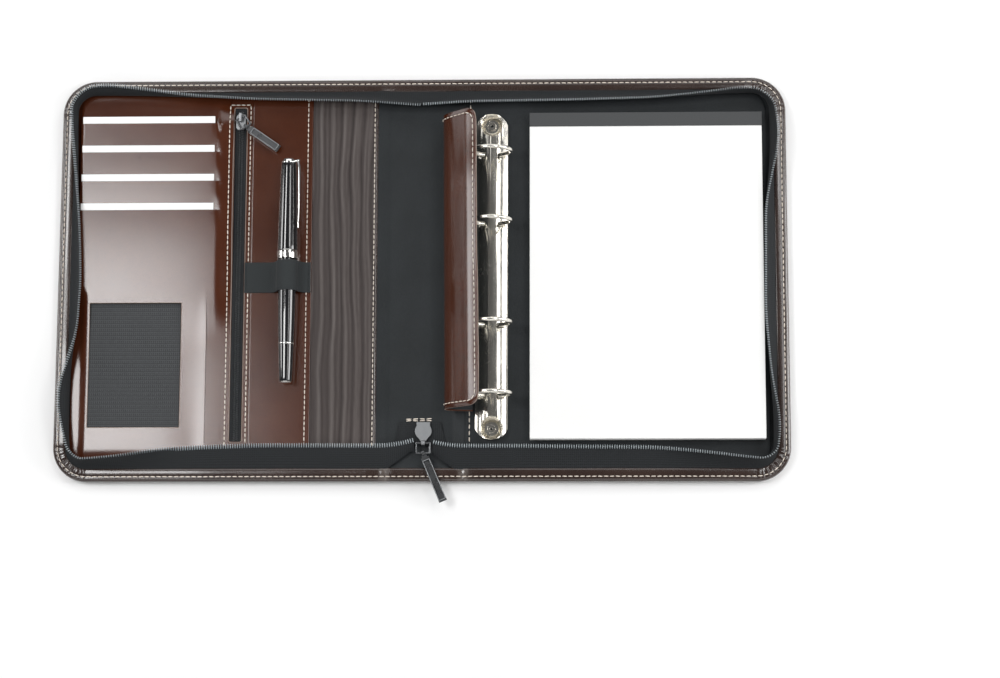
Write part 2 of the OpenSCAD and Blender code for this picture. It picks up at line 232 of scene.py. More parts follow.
def rounded_outline(x0, x1, y0, y1, radius, inset=0.0):
    """Points of a rounded rectangle, each corner a quarter circle, drawn in by inset."""
    r = max(radius - inset, 0.02)
    angles = np.linspace(0, math.pi / 2, 7)
    corners = [(x1 - inset - r, y1 - inset - r), (x0 + inset + r, y1 - inset - r),
               (x0 + inset + r, y0 + inset + r), (x1 - inset - r, y0 + inset + r)]
    parts = [np.stack([cx + r * np.cos(angles + k * math.pi / 2), cy + r * np.sin(angles + k * math.pi / 2)],
                      -1)
             for k, (cx, cy) in enumerate(corners)]
    return np.concatenate(parts)


def at_height(outline, z):
    """A plan outline lifted to height z."""
    return np.concatenate([outline, np.full((len(outline), 1), float(z))], 1)


def panel(name, x0, x1, y0, y1, z0, z1, radius=1.0, edge=0.35):
    """A flat panel with rolled edges."""
    profile = [(edge, z0), (0, z0 + edge), (0, z1 - edge), (0.3 * edge, z1 - 0.3 * edge), (edge, z1),
               (edge + 0.3, z1)]
    return loft(name, [at_height(rounded_outline(x0, x1, y0, y1, radius, i), z) for i, z in profile])


def frame_panel(name, outer, inner, z0, z1, radius=1.0, inner_radius=0.8, edge=0.3):
    """A panel with a window: one closed band through outer and inner rolled edges."""
    outside = [(edge, z0), (0, z0 + edge), (0, z1 - edge), (edge, z1), (edge + 0.3, z1)]
    inside = [(-edge - 0.3, z1), (-edge, z1), (0, z1 - edge), (0, z0 + edge), (-edge, z0)]
    rings = [at_height(rounded_outline(*outer, radius, i), z) for i, z in outside]
    rings += [at_height(rounded_outline(*inner, inner_radius, i), z) for i, z in inside]
    return loft(name, rings, loop=True)


def smooth(value):
    """A smooth step of a value clipped to 0..1."""
    value = np.clip(value, 0, 1)
    return value * value * (3 - 2 * value)


def unit(vectors):
    """Vectors brought to length one, along their last axis."""
    return vectors / np.linalg.norm(vectors, axis=-1, keepdims=True)


def lengths(path):
    """Length run along a polyline at each of its points."""
    return np.concatenate([[0], np.cumsum(np.linalg.norm(np.diff(path, axis=0), axis=1))])


def sampled(where, run, path):
    """Points of a path at given runs along it, by straight interpolation."""
    return np.stack([np.interp(where, run, column) for column in np.asarray(path, float).T], -1)


def hoops(path, side, top, radius, sides, squash=1.0):
    """Circles round the points of a path, drawn in the plane of two directions."""
    turn = np.linspace(0, 2 * math.pi, sides, endpoint=False)[None, :, None]
    ring = np.cos(turn) * side[:, None] + squash * np.sin(turn) * top[:, None]
    return path[:, None] + np.reshape(radius, (-1, 1, 1)) * ring


def bead(name, outline, radius):
    """A fine round bead along a closed, nearly level outline."""
    ahead = unit(np.roll(outline, -1, 0) - np.roll(outline, 1, 0))
    upright = np.broadcast_to(np.array(UPWARD, float), outline.shape)
    return loft(name, hoops(outline, np.cross(ahead, upright), upright, radius, 8), loop=True)


def tube(name, path, radius, sides=12, squash=1.0, up=UPWARD):
    """A round bar along a path: a circle carried square to the tangent, closed flat at both ends."""
    path = np.asarray(path, float)
    tangent = unit(np.gradient(path, axis=0))
    side = unit(np.cross(tangent, np.asarray(up, float)))
    return loft(name, hoops(path, side, np.cross(side, tangent), radius, sides, squash))


def even_points(path, pitch):
    """Points and tangents spaced evenly along a polyline, by arc length."""
    path = np.asarray(path, float)
    run = lengths(path)
    count = max(int(run[-1] / pitch), 1)
    where = (np.arange(count) + 0.5) * run[-1] / count
    return sampled(where, run, path), unit(sampled(where + 0.4, run, path) - sampled(where - 0.4, run, path))


def grid_of(x, y):
    """Two arrays that hold every pairing of the values of x and y."""
    return np.meshgrid(x, y, indexing="ij")


def copies(name, shape, faces, places, axes):
    """One mesh of many copies of a small shape: each point is place + shape measured in that place's axes."""
    points = places[:, None, :] + np.einsum("pk,nkj->npj", shape, axes)
    offsets = np.arange(len(places))[:, None] * len(shape)
    all_faces = [face for f in faces for face in (np.asarray(f)[None, :] + offsets).tolist()]
    return make_mesh(name, points.reshape(-1, 3), all_faces)


def bean(length, width, height, sides=6):
    """Points and faces of one stitch: rings that swell and close at both ends, arched over its middle."""
    t = np.array([-0.92, -0.55, 0.0, 0.55, 0.92])
    swell = np.sqrt(1 - t ** 2) * 0.75 + 0.25
    turn = np.linspace(0, 2 * math.pi, sides, endpoint=False)
    rings = [np.stack([np.full(sides, a * length / 2), np.cos(turn) * s * width / 2,
                       np.sin(turn) * s * height / 2 + (0.35 * height) * (1 - a * a)], -1)
             for a, s in zip(t, swell)]
    ends = [[side * length / 2, 0, -0.15 * height] for side in (-1, 1)]
    points = np.concatenate([*rings, ends])
    faces = [tuple(q) for q in grid_quads(len(t), sides, wrap=True)]
    last, n = (len(t) - 1) * sides, len(points)
    faces += [(n - 2, (j + 1) % sides, j) for j in range(sides)]
    faces += [(n - 1, last + j, last + (j + 1) % sides) for j in range(sides)]
    return points, faces


def stitch_runs(name, runs, ups, pitch=STITCH_PITCH, width=0.68, height=0.5, slant=0.06):
    """Thread as separate stitches along several paths, each lying along its path and square to its up."""
    places, axes = [], []
    for run, up in zip(runs, ups):
        p, along = even_points(run, pitch)
        up = np.broadcast_to(np.asarray(up, float), p.shape)
        side = unit(np.cross(up, along))
        wander = slant * np.sin(1.7 * np.arange(len(p)) + 3 * np.sin(0.37 * np.arange(len(p))))[:, None]
        along = unit(along + wander * side)
        side = unit(np.cross(up, along))
        places.append(p)
        axes.append(np.stack([along, side, np.cross(along, side)], 1))
    shape, faces = bean(pitch * 0.8, width, height)
    obj = copies(name, shape, faces, np.concatenate(places), np.concatenate(axes))
    return weld(obj, 0.0002)


def softened(node, bevel, angle=math.radians(32)):
    """A merged copy of a CAD node with small rounded edges, which stands for the node."""
    source = NODES[node]
    mesh = source.data.copy()
    obj = bpy.data.objects.new(node + "_finished", mesh)
    bpy.context.scene.collection.objects.link(obj)
    bm = bmesh.new()
    bm.from_mesh(mesh)
    bmesh.ops.remove_doubles(bm, verts=bm.verts, dist=2e-6)
    bmesh.ops.dissolve_degenerate(bm, edges=bm.edges, dist=1e-6)
    bmesh.ops.dissolve_limit(bm, angle_limit=math.radians(0.6), verts=bm.verts, edges=bm.edges)
    bmesh.ops.recalc_face_normals(bm, faces=bm.faces)
    bm.to_mesh(mesh)
    bm.free()
    mesh.polygons.foreach_set("use_smooth", [True] * len(mesh.polygons))
    mesh.set_sharp_from_angle(angle=angle)
    if bevel:
        soft = obj.modifiers.new("rounded_edges", "BEVEL")
        soft.width = bevel * MM
        soft.segments = 2
        soft.limit_method = "ANGLE"
        soft.angle_limit = angle
        soft.use_clamp_overlap = True
        soft.harden_normals = True
    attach(obj, source["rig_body"])
    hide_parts(node)
    return obj


# ---- materials -----------------------------------------------------------------


def add_node(tree, kind, **settings):
    """A shader node with its plain settings; inputs are given as in_Name=value."""
    made = tree.nodes.new(kind)
    for key, value in settings.items():
        if key.startswith("in_"):
            made.inputs[key[3:].replace("_", " ")].default_value = value
        else:
            setattr(made, key, value)
    return made


def maths(tree, operation, a, b=None, c=None, clamp=False):
    """A Math node whose inputs are sockets or numbers."""
    made = tree.nodes.new("ShaderNodeMath")
    made.operation = operation
    made.use_clamp = clamp
    for k, value in enumerate((a, b, c)):
        if value is None:
            continue
        if hasattr(value, "is_output"):
            tree.links.new(value, made.inputs[k])
        else:
            made.inputs[k].default_value = value
    return made.outputs[0]


def times(tree, a, b, clamp=False):
    return maths(tree, "MULTIPLY", a, b, clamp=clamp)


def linear(tree, value, slope, start, clamp=False):
    return maths(tree, "MULTIPLY_ADD", value, slope, start, clamp)


def wave(tree, value, pitch):
    """A sine wave of a value in millimetres, one turn per pitch."""
    return maths(tree, "SINE", times(tree, value, 2 * math.pi / pitch))


def mixed(tree, factor, first, second):
    """A colour mix whose factor and colours are sockets or values."""
    made = tree.nodes.new("ShaderNodeMix")
    made.data_type = "RGBA"
    made.blend_type = "MIX"
    for slot, value in ((0, factor), (6, first), (7, second)):
        if hasattr(value, "is_output"):
            tree.links.new(value, made.inputs[slot])
        else:
            made.inputs[slot].default_value = value if slot == 0 else (*value, 1.0)
    return made.outputs[2]


def new_group(name, inputs, outputs):
    """An empty shader group with named sockets: (name, kind, default)."""
    group = bpy.data.node_groups.new(name, "ShaderNodeTree")
    for label, kind, default in inputs:
        socket = group.interface.new_socket(label, in_out="INPUT", socket_type=kind)
        if default is not None:
            socket.default_value = default
    for label, kind in outputs:
        group.interface.new_socket(label, in_out="OUTPUT", socket_type=kind)
    return group, group.nodes.new("NodeGroupInput"), group.nodes.new("NodeGroupOutput")


def finished_group(tree, out, *values):
    """Links a group's results to its output and returns the group."""
    for k, value in enumerate(values):
        tree.links.new(value, out.inputs[k])
    return tree


def stretched(tree, vector, scale):
    """A vector multiplied, axis by axis, by scale."""
    mapping = tree.nodes.new("ShaderNodeMapping")
    mapping.inputs["Scale"].default_value = scale
    tree.links.new(vector, mapping.inputs["Vector"])
    return mapping.outputs[0]


def object_millimetres(tree, scale=(1, 1, 1)):
    """Object coordinates turned to millimetres, stretched by scale."""
    coords = tree.nodes.new("ShaderNodeTexCoord")
    return stretched(tree, coords.outputs["Object"], [k / MM for k in scale])


def run_millimetres(tree):
    """A piece's own UV map turned to millimetres: U along the piece, V across it."""
    coords = add_node(tree, "ShaderNodeUVMap", uv_map="run")
    return stretched(tree, coords.outputs["UV"], (1 / MM,) * 3)


def axes_of(tree, vector):
    """The three numbers of a vector socket."""
    split = tree.nodes.new("ShaderNodeSeparateXYZ")
    tree.links.new(vector, split.inputs[0])
    return split.outputs


def noise(tree, vector, scale, detail=3.0, rough=0.55, distort=0.0):
    made = add_node(tree, "ShaderNodeTexNoise", in_Scale=scale, in_Detail=detail, in_Roughness=rough,
                    in_Distortion=distort)
    tree.links.new(vector, made.inputs["Vector"])
    return made.outputs["Fac"]


def remap(tree, value, low, high, to_low=0.0, to_high=1.0):
    made = add_node(tree, "ShaderNodeMapRange")
    tree.links.new(value, made.inputs[0])
    for k, number in enumerate((low, high, to_low, to_high)):
        made.inputs[k + 1].default_value = number
    return made.outputs[0]


def build_grain():
    """Leather grain: rounded pebbles between fine creases, broken by fine noise, with slow clouds of tone."""
    t, given, out = new_group(
        "leather_grain",
        [("Vector", "NodeSocketVector", None), ("Pebble", "NodeSocketFloat", 1.1)],
        [("Height", "NodeSocketFloat"), ("Crease", "NodeSocketFloat"), ("Cloud", "NodeSocketFloat")])
    cells = add_node(t, "ShaderNodeTexVoronoi", feature="SMOOTH_F1", in_Smoothness=0.5, in_Randomness=1.0)
    t.links.new(given.outputs[0], cells.inputs["Vector"])
    t.links.new(maths(t, "DIVIDE", 1.0, given.outputs[1]), cells.inputs["Scale"])
    lines = add_node(t, "ShaderNodeTexVoronoi", feature="DISTANCE_TO_EDGE")
    t.links.new(given.outputs[0], lines.inputs["Vector"])
    t.links.new(maths(t, "DIVIDE", 1.0, given.outputs[1]), lines.inputs["Scale"])
    crease = remap(t, lines.outputs["Distance"], 0.0, 0.16, 1.0, 0.0)
    fine = noise(t, given.outputs[0], 2.6, 2.0)
    cloud = noise(t, given.outputs[0], 0.028, 4.0, 0.6)
    height = maths(t, "SUBTRACT", times(t, fine, 0.5), times(t, cells.outputs["Distance"], 0.8))
    height = maths(t, "SUBTRACT", height, times(t, crease, 0.35))
    return finished_group(t, out, height, crease, cloud)


def build_weave():
    """Woven thread: two crossing sets of ridges, one over the other by turns along a diagonal."""
    t, given, out = new_group(
        "woven_threads",
        [("Vector", "NodeSocketVector", None), ("Pitch", "NodeSocketFloat", 0.6),
         ("Twill", "NodeSocketFloat", 1.0)],
        [("Height", "NodeSocketFloat"), ("Gap_shade", "NodeSocketFloat")])
    split = axes_of(t, given.outputs[0])
    turns = maths(t, "DIVIDE", 2 * math.pi, given.outputs[1])
    warp = maths(t, "SINE", times(t, split[0], turns))
    weft = maths(t, "SINE", times(t, split[1], turns))
    slope = maths(t, "ADD", times(t, split[0], given.outputs[2]), split[1])
    diagonal = maths(t, "SINE", times(t, slope, times(t, turns, 0.5)))
    over = linear(t, diagonal, 0.5, 0.5)
    height = maths(t, "ADD", times(t, warp, over),
                   times(t, weft, maths(t, "SUBTRACT", 1.0, over)))
    height = linear(t, height, 0.5, 0.5, clamp=True)
    # painted shade: the low gaps between the threads, which the cloth darkens
    painted_gap_shade = remap(t, height, 0.05, 0.4, 1.0, 0.0)
    return finished_group(t, out, height, painted_gap_shade)


def build_wear_and_glare():
    """Edge wear and painted highlight: a piece's own mask broken up by noise, for edges that hands and cases
    polish and for glare painted onto the border's laps.
    """
    t, given, out = new_group(
        "edge_wear_and_painted_glare",
        [("Vector", "NodeSocketVector", None), ("Mask", "NodeSocketFloat", 0.0)],
        [("Wear_and_glare", "NodeSocketFloat")])
    patchy = remap(t, noise(t, given.outputs[0], 0.35, 4.0, 0.65), 0.35, 0.65, 0.35, 1.0)
    return finished_group(t, out, times(t, given.outputs[1], patchy, clamp=True))


def build_handling():
    """Faint smears and fine hair scratches that change a hard finish's gloss."""
    t, given, out = new_group(
        "handled_finish", [("Vector", "NodeSocketVector", None)],
        [("Smear", "NodeSocketFloat"), ("Scratch", "NodeSocketFloat")])
    smear = remap(t, noise(t, given.outputs[0], 0.12, 5.0, 0.6, 0.4), 0.3, 0.7)
    scratch = remap(t, noise(t, stretched(t, given.outputs[0], (9.0, 0.35, 2.0)), 1.0, 2.0), 0.6, 0.72)
    return finished_group(t, out, smear, scratch)


GRAIN, WEAVE, WEAR_AND_GLARE, HANDLING = build_grain(), build_weave(), build_wear_and_glare(), build_handling()


def place_group(tree, group, vector, **values):
    made = tree.nodes.new("ShaderNodeGroup")
    made.node_tree = group
    tree.links.new(vector, made.inputs["Vector"])
    for key, value in values.items():
        made.inputs[key].default_value = value
    return made


def new_material(name):
    """A material with one Principled shader; returns it with its tree and shader."""
    material = bpy.data.materials.new(name)
    material.use_nodes = True
    tree = material.node_tree
    shader = tree.nodes["Principled BSDF"]
    return material, tree, shader


def finished(tree, shader, colour, rough, height, strength, depth, **values):
    """Feeds colour, roughness and a bump height in millimetres to the shader and sets its plain inputs."""
    tree.links.new(colour, shader.inputs["Base Color"])
    tree.links.new(rough, shader.inputs["Roughness"])
    for label, value in values.items():
        shader.inputs[label.replace("_", " ")].default_value = value
    bump = add_node(tree, "ShaderNodeBump", in_Strength=strength, in_Distance=depth * MM)
    tree.links.new(height, bump.inputs["Height"])
    tree.links.new(bump.outputs[0], shader.inputs["Normal"])


def leather(name, colour, deep, gloss=0.34, pebble=1.1, depth=0.06, coat=0.35, wear_and_glare_colour=None, shine=0.5):
    """Grained leather: creases darkened as painted shade, slow clouds of tone, gloss that varies, and a
    lighter rubbed edge, which on the outer leather also carries a painted highlight at the laps.
    """
    material, t, shader = new_material(name)
    place = object_millimetres(t)
    grain = place_group(t, GRAIN, place, Pebble=pebble)
    tone = remap(t, grain.outputs["Cloud"], 0.3, 0.7)
    shade = mixed(t, tone, deep, colour)
    # painted shade: the creases between the pebbles darkened
    shade = mixed(t, times(t, grain.outputs["Crease"], 0.35), shade, [c * 0.55 for c in deep])
    mask = add_node(t, "ShaderNodeAttribute", attribute_name="wear_and_glare")
    wear_and_glare = place_group(t, WEAR_AND_GLARE, place)
    t.links.new(mask.outputs["Fac"], wear_and_glare.inputs["Mask"])
    # edge wear, and on the outer leather a painted highlight at the laps, both lighten towards this colour
    wear_and_glare_shade = wear_and_glare_colour or [min(1, c * 2.2 + 0.02) for c in colour]
    shade = mixed(t, times(t, wear_and_glare.outputs[0], 0.55), shade, wear_and_glare_shade)
    rough = linear(t, grain.outputs["Cloud"], 0.10, gloss - 0.05)
    rough = linear(t, grain.outputs["Crease"], 0.06, rough)
    finished(t, shader, shade, rough, grain.outputs["Height"], 0.5, depth * 2,
             Specular_IOR_Level=shine, Coat_Weight=coat, Coat_Roughness=0.14)
    return material


def woven(name, colour, dark, pitch, along_run=True, twill=1.0, rough=0.85, depth=0.1, sheen=0.3, fleck=0.3):
    """Woven cloth or tape: threads stand out of gaps darkened as painted shade, with flecks of lighter yarn.
    """
    material, t, shader = new_material(name)
    place = run_millimetres(t) if along_run else object_millimetres(t)
    weave = place_group(t, WEAVE, place, Pitch=pitch, Twill=twill)
    yarn = remap(t, noise(t, place, 0.9, 3.0), 0.3, 0.7)
    lighter = [min(1, c * 1.7 + 0.01) for c in colour]
    shade = mixed(t, times(t, yarn, fleck), colour, lighter)
    # painted shade in the thread gaps, towards the second colour
    shade = mixed(t, times(t, weave.outputs["Gap_shade"], 0.7), shade, dark)
    gloss = linear(t, yarn, 0.12, rough - 0.08)
    finished(t, shader, shade, gloss, weave.outputs["Height"], 0.6, depth,
             Sheen_Weight=sheen, Sheen_Roughness=0.5, Specular_IOR_Level=0.18)
    return material


def metal(name, colour, dark, rough, metallic=1.0, coat=0.0, spread=0.1, scratch=0.25):
    """Plated or lacquered metal: smears and hair scratches vary its gloss and tone a little."""
    material, t, shader = new_material(name)
    place = object_millimetres(t)
    handled = place_group(t, HANDLING, place)
    shade = mixed(t, times(t, handled.outputs["Smear"], 0.5), colour, dark)
    gloss = linear(t, handled.outputs["Smear"], spread, rough)
    gloss = linear(t, handled.outputs["Scratch"], scratch * 0.3, gloss)
    finished(t, shader, shade, gloss, noise(t, place, 1.3, 3.0), 0.12, 0.03,
             Metallic=metallic, Coat_Weight=coat, Coat_Roughness=0.04)
    return material


def fibrous(name, colour, dark, rough=0.8, pitch=0.5, depth=0.03, layers=0.0, shine=0.3):
    """Board, paper or foam: short fibres, and, where layers is their spacing, thin lines of painted shade
    between the sheets on upright faces.
    """
    material, t, shader = new_material(name)
    place = object_millimetres(t)
    fibres = noise(t, place, 1 / pitch, 5.0, 0.7)
    height = fibres
    shade = mixed(t, remap(t, fibres, 0.35, 0.75), colour, dark)
    if layers:
        wavy = linear(t, noise(t, place, 0.05, 2.0), 0.6, axes_of(t, place)[2])
        leaf = wave(t, wavy, layers)
        facing = axes_of(t, add_node(t, "ShaderNodeNewGeometry").outputs["Normal"])
        upright = maths(t, "LESS_THAN", maths(t, "ABSOLUTE", facing[2]), 0.5)
        # painted shade: dark lines between the stacked sheets on the upright faces
        edge = times(t, remap(t, leaf, 0.2, 1.0), upright)
        shade = mixed(t, times(t, edge, 0.45), shade, [c * 0.6 for c in colour])
        height = maths(t, "SUBTRACT", fibres, edge)
    gloss = linear(t, fibres, 0.1, rough - 0.05)
    finished(t, shader, shade, gloss, height, 0.3, depth, Specular_IOR_Level=shine)
    return material


def moire(name, colour, dark, light):
    """Watered cloth: long wavering bands like wood grain over a fine rib, darker and lighter by turns."""
    material, t, shader = new_material(name)
    place = object_millimetres(t)
    slow = object_millimetres(t, (0.3, 0.008, 0.3))
    waver = object_millimetres(t, (0.03, 0.011, 0.03))
    push = linear(t, noise(t, waver, 1.0, 1.5), 11.0, -5.5)
    split = axes_of(t, place)
    across = maths(t, "ADD", split[0], push)
    wide = wave(t, across, 7.3)
    narrow = wave(t, across, 3.4)
    strength = remap(t, noise(t, slow, 1.0, 2.0), 0.3, 0.7)
    bands = maths(t, "ADD", times(t, wide, 0.45), times(t, times(t, narrow, 0.6), strength))
    bands = linear(t, bands, 0.5, 0.5, clamp=True)
    uneven = noise(t, object_millimetres(t, (1.2, 0.12, 1.2)), 1.0, 4.0)
    tone = maths(t, "ADD", times(t, bands, 0.75), times(t, uneven, 0.25))
    shade = mixed(t, remap(t, tone, 0.15, 0.5), dark, colour)
    shade = mixed(t, remap(t, tone, 0.5, 0.9), shade, light)
    ribs = wave(t, split[1], 0.55)
    height = maths(t, "ADD", times(t, bands, 1.6), times(t, ribs, 0.12))
    finished(t, shader, shade, linear(t, bands, -0.12, 0.62), height, 0.5, 0.16,
             Sheen_Weight=0.08, Sheen_Roughness=0.4, Specular_IOR_Level=0.28)
    return material


def ribbed(name, colour, dark, pitch):
    """Woven elastic: ribs across the band with rows of fine threads, coloured by their relief so that the low
    parts take painted shade.
    """
    material, t, shader = new_material(name)
    place = object_millimetres(t)
    split = axes_of(t, place)
    rib = wave(t, split[1], pitch)
    thread = wave(t, split[0], pitch * 0.7)
    height = linear(t, times(t, rib, thread), 0.5, 0.5)
    # painted shade: the rib hollows darker, the rib tops lighter
    shade = mixed(t, height, dark, colour)
    rough = linear(t, noise(t, place, 0.8), 0.15, 0.75)
    finished(t, shader, shade, rough, height, 0.6, 0.12, Sheen_Weight=0.06, Specular_IOR_Level=0.2)
    return material


FINISH = {
    # outer leather: its last colour is a light grey for edge wear and for the painted highlight on the laps
    "outer_leather": leather("dark_brown_hide", (0.040, 0.021, 0.015), (0.024, 0.012, 0.009), 0.23, 1.2,
                             0.03, coat=0.9,
                             wear_and_glare_colour=(0.20, 0.175, 0.16)),
    "inner_leather": leather("red_brown_hide", (0.076, 0.019, 0.006), (0.056, 0.013, 0.004), 0.16, 0.9,
                             0.012, coat=0.5),
    "lining": leather("charcoal_lining_hide", (0.022, 0.026, 0.029), (0.015, 0.018, 0.020), 0.5, 0.8, 0.05,
                      coat=0.0, shine=0.28),
    "padding": fibrous("cream_foam", (0.66, 0.61, 0.48), (0.5, 0.45, 0.35), 0.95, 0.8, 0.1),
    "stiffener": fibrous("grey_board", (0.36, 0.33, 0.28), (0.24, 0.22, 0.19), 0.9, 0.9),
    "moire_cloth": moire("watered_taupe_cloth", (0.062, 0.050, 0.047), (0.026, 0.019, 0.018),
                         (0.125, 0.108, 0.102)),
    # a woven finish's second colour is the painted shade of its thread gaps
    "zip_tape": woven("black_twill_tape", (0.017, 0.019, 0.021), (0.002, 0.002, 0.002), 1.25, sheen=0.04,
                      rough=0.7),
    # the open coil is black; its light grey colour is painted glint, where its upright teeth catch the light
    "zip_teeth": metal("black_coil", (0.34, 0.38, 0.40), (0.20, 0.23, 0.25), 0.25, 0.0, 0.6),
    "thread": fibrous("cream_thread", (0.90, 0.83, 0.74), (0.72, 0.62, 0.52), 0.7, 0.35, 0.05),
    "nickel": metal("warm_nickel", (0.90, 0.87, 0.80), (0.72, 0.69, 0.62), 0.14),
    "slider_metal": metal("matte_grey_metal", (0.34, 0.35, 0.36), (0.22, 0.23, 0.24), 0.38),
    "gunmetal": metal("dark_gunmetal", (0.15, 0.155, 0.16), (0.08, 0.08, 0.085), 0.24),
    "pad_board": fibrous("pad_grey_board", (0.28, 0.27, 0.25), (0.2, 0.19, 0.18), 0.9, 0.7),
    "pad_sheets": fibrous("white_paper", (0.90, 0.90, 0.89), (0.86, 0.86, 0.85), 0.75, 0.6, 0.01,
                          layers=0.24),
    "pad_binding": fibrous("grey_binding_cloth", (0.075, 0.078, 0.08), (0.05, 0.052, 0.054), 0.8, 0.4),
    "window_mesh": woven("black_window_mesh", (0.050, 0.053, 0.056), (0.004, 0.004, 0.005), 1.3, False, 0.0,
                         0.5, 0.2, 0.05),
    # the elastic's second colour is the painted shade in its rib hollows
    "elastic": ribbed("charcoal_elastic", (0.050, 0.056, 0.058), (0.012, 0.014, 0.015), 1.3),
    "card_plastic": metal("white_card_plastic", (0.93, 0.93, 0.92), (0.88, 0.88, 0.87), 0.38, 0.0),
    "pen_lacquer": metal("black_lacquer", (0.006, 0.007, 0.008), (0.010, 0.010, 0.011), 0.12, 0.0, 1.0, 0.03,
                         0.05),
    "pen_chrome": metal("bright_chrome", (0.93, 0.92, 0.89), (0.82, 0.81, 0.79), 0.07),
}
# the same black coil without the painted glint, for coils that lie closed and flat
CLOSED_COIL = metal("closed_black_coil", (0.045, 0.050, 0.053), (0.02, 0.022, 0.024), 0.35, 0.0, 0.2)
RAW_EDGE = fibrous("raw_leather_edge", (0.34, 0.27, 0.23), (0.22, 0.16, 0.13), 0.8, 0.5)

SLOT_OF_NODE = {
    "outer_leather": "back_cover_leather back_edge_binding spine_leather spine_edge_binding "
                     "hinge_leather_back hinge_leather_front front_cover_leather front_edge_binding",
    "inner_leather": "ring_flap_leather card_pocket_strips card_pocket_panel pen_panel",
    "padding": "back_foam_pad spine_padding front_foam_pad",
    "stiffener": "back_board front_board",
    "lining": "back_liner spine_liner hinge_liner_back hinge_liner_front front_liner ring_flap_lining",
    "moire_cloth": "rippled_lining",
    "zip_tape": "back_zip_tape spine_zip_tape mouth_zip_tape front_zip_tape pocket_zip_tape",
    "zip_teeth": "back_zip_teeth spine_zip_teeth mouth_zip_chain front_zip_teeth pocket_zip_teeth",
    "thread": "mouth_bartack",
    "nickel": "ring_plate ring_eyelets ring_blade_left ring_halves_left ring_blade_right ring_halves_right",
    "slider_metal": "zip_slider_body pocket_slider_body",
    "gunmetal": "zip_pull_tab pocket_pull_tab zip_link_wire pocket_link_wire",
    "pad_board": "pad_backing_board",
    "pad_sheets": "pad_paper",
    "pad_binding": "pad_binding_strip",
    "window_mesh": "id_window_mesh",
    "elastic": "pen_loop",
    "card_plastic": "card_1 card_2 card_3 card_4",
    "pen_lacquer": "pen_cap pen_barrel",
    "pen_chrome": "pen_trim",
}


def dress(obj, slot, raw_edge=False):
    """Gives a piece the finish of its slot."""
    if raw_edge and len(obj.data.materials) == 2:
        obj.data.materials[0] = FINISH[slot]
        return obj
    obj.data.materials.clear()
    obj.data.materials.append(FINISH[slot])
    if raw_edge:
        obj.data.materials.append(RAW_EDGE)
    return obj


for slot_name, names in SLOT_OF_NODE.items():
    for node_name in names.split():
        dress(NODES[node_name], slot_name)


def fit(obj, slot, body, *nodes, raw_edge=False):
    """Dresses a piece, lets it ride its body and hides the CAD nodes it stands for."""
    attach(dress(obj, slot, raw_edge), body)
    if nodes:
        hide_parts(*nodes)
    return obj


def bend(obj):
    """Bakes a piece's placement into its mesh."""
    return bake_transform(obj)


# ---- the plan of half the case -------------------------------------------------


def half_plan(station, inset):
    """Plan points of half the case: along the bottom, round the outer side and back along the top.

    The station is the length run along the outline from the middle; inset draws the point inward,
    square to the outline, on straight runs and round corners alike."""
    s, d = np.broadcast_arrays(np.asarray(station, float), np.asarray(inset, float))
    a, c, side = ALONG_BOTTOM, ROUND_CORNER, ALONG_SIDE
    reach = CORNER - d
    first = np.clip((s - a) / CORNER, 0, math.pi / 2)
    second = np.clip((s - a - c - side) / CORNER, 0, math.pi / 2)
    turn = first + second
    along = np.where(s < a, s, a)
    along = np.where(s > a + 2 * c + side, 2 * a + 2 * c + side - s, along)
    up = np.clip(s - a - c, 0, side) - side / 2
    return along + reach * np.sin(turn), up - reach * np.cos(turn)


def eased(station, marks, values, width=9.0):
    """Values between marks, smoothed by averaging over a short window."""
    spread = np.linspace(-width, width, 9)
    return np.mean([np.interp(np.asarray(station) + w, marks, values) for w in spread], 0)


def stations(step=5.0):
    """Stations of the half outline: close in the fold, the corners and the laps, wider elsewhere."""
    a, c, side = ALONG_BOTTOM, ROUND_CORNER, ALONG_SIDE
    fold = np.concatenate([np.arange(0, 18, 3.0), np.arange(18, 35, 0.8)])
    straight = np.concatenate([fold, np.arange(37, a - 2, step)])
    corner = np.linspace(a, a + c, 40)
    upright = np.arange(a + c + 3, a + c + side - 2, step)
    return np.concatenate([straight, corner, upright, corner + c + side,
                           (2 * a + 2 * c + side) - straight[::-1]])


# ---- the outer leather ----------------------------------------------------------


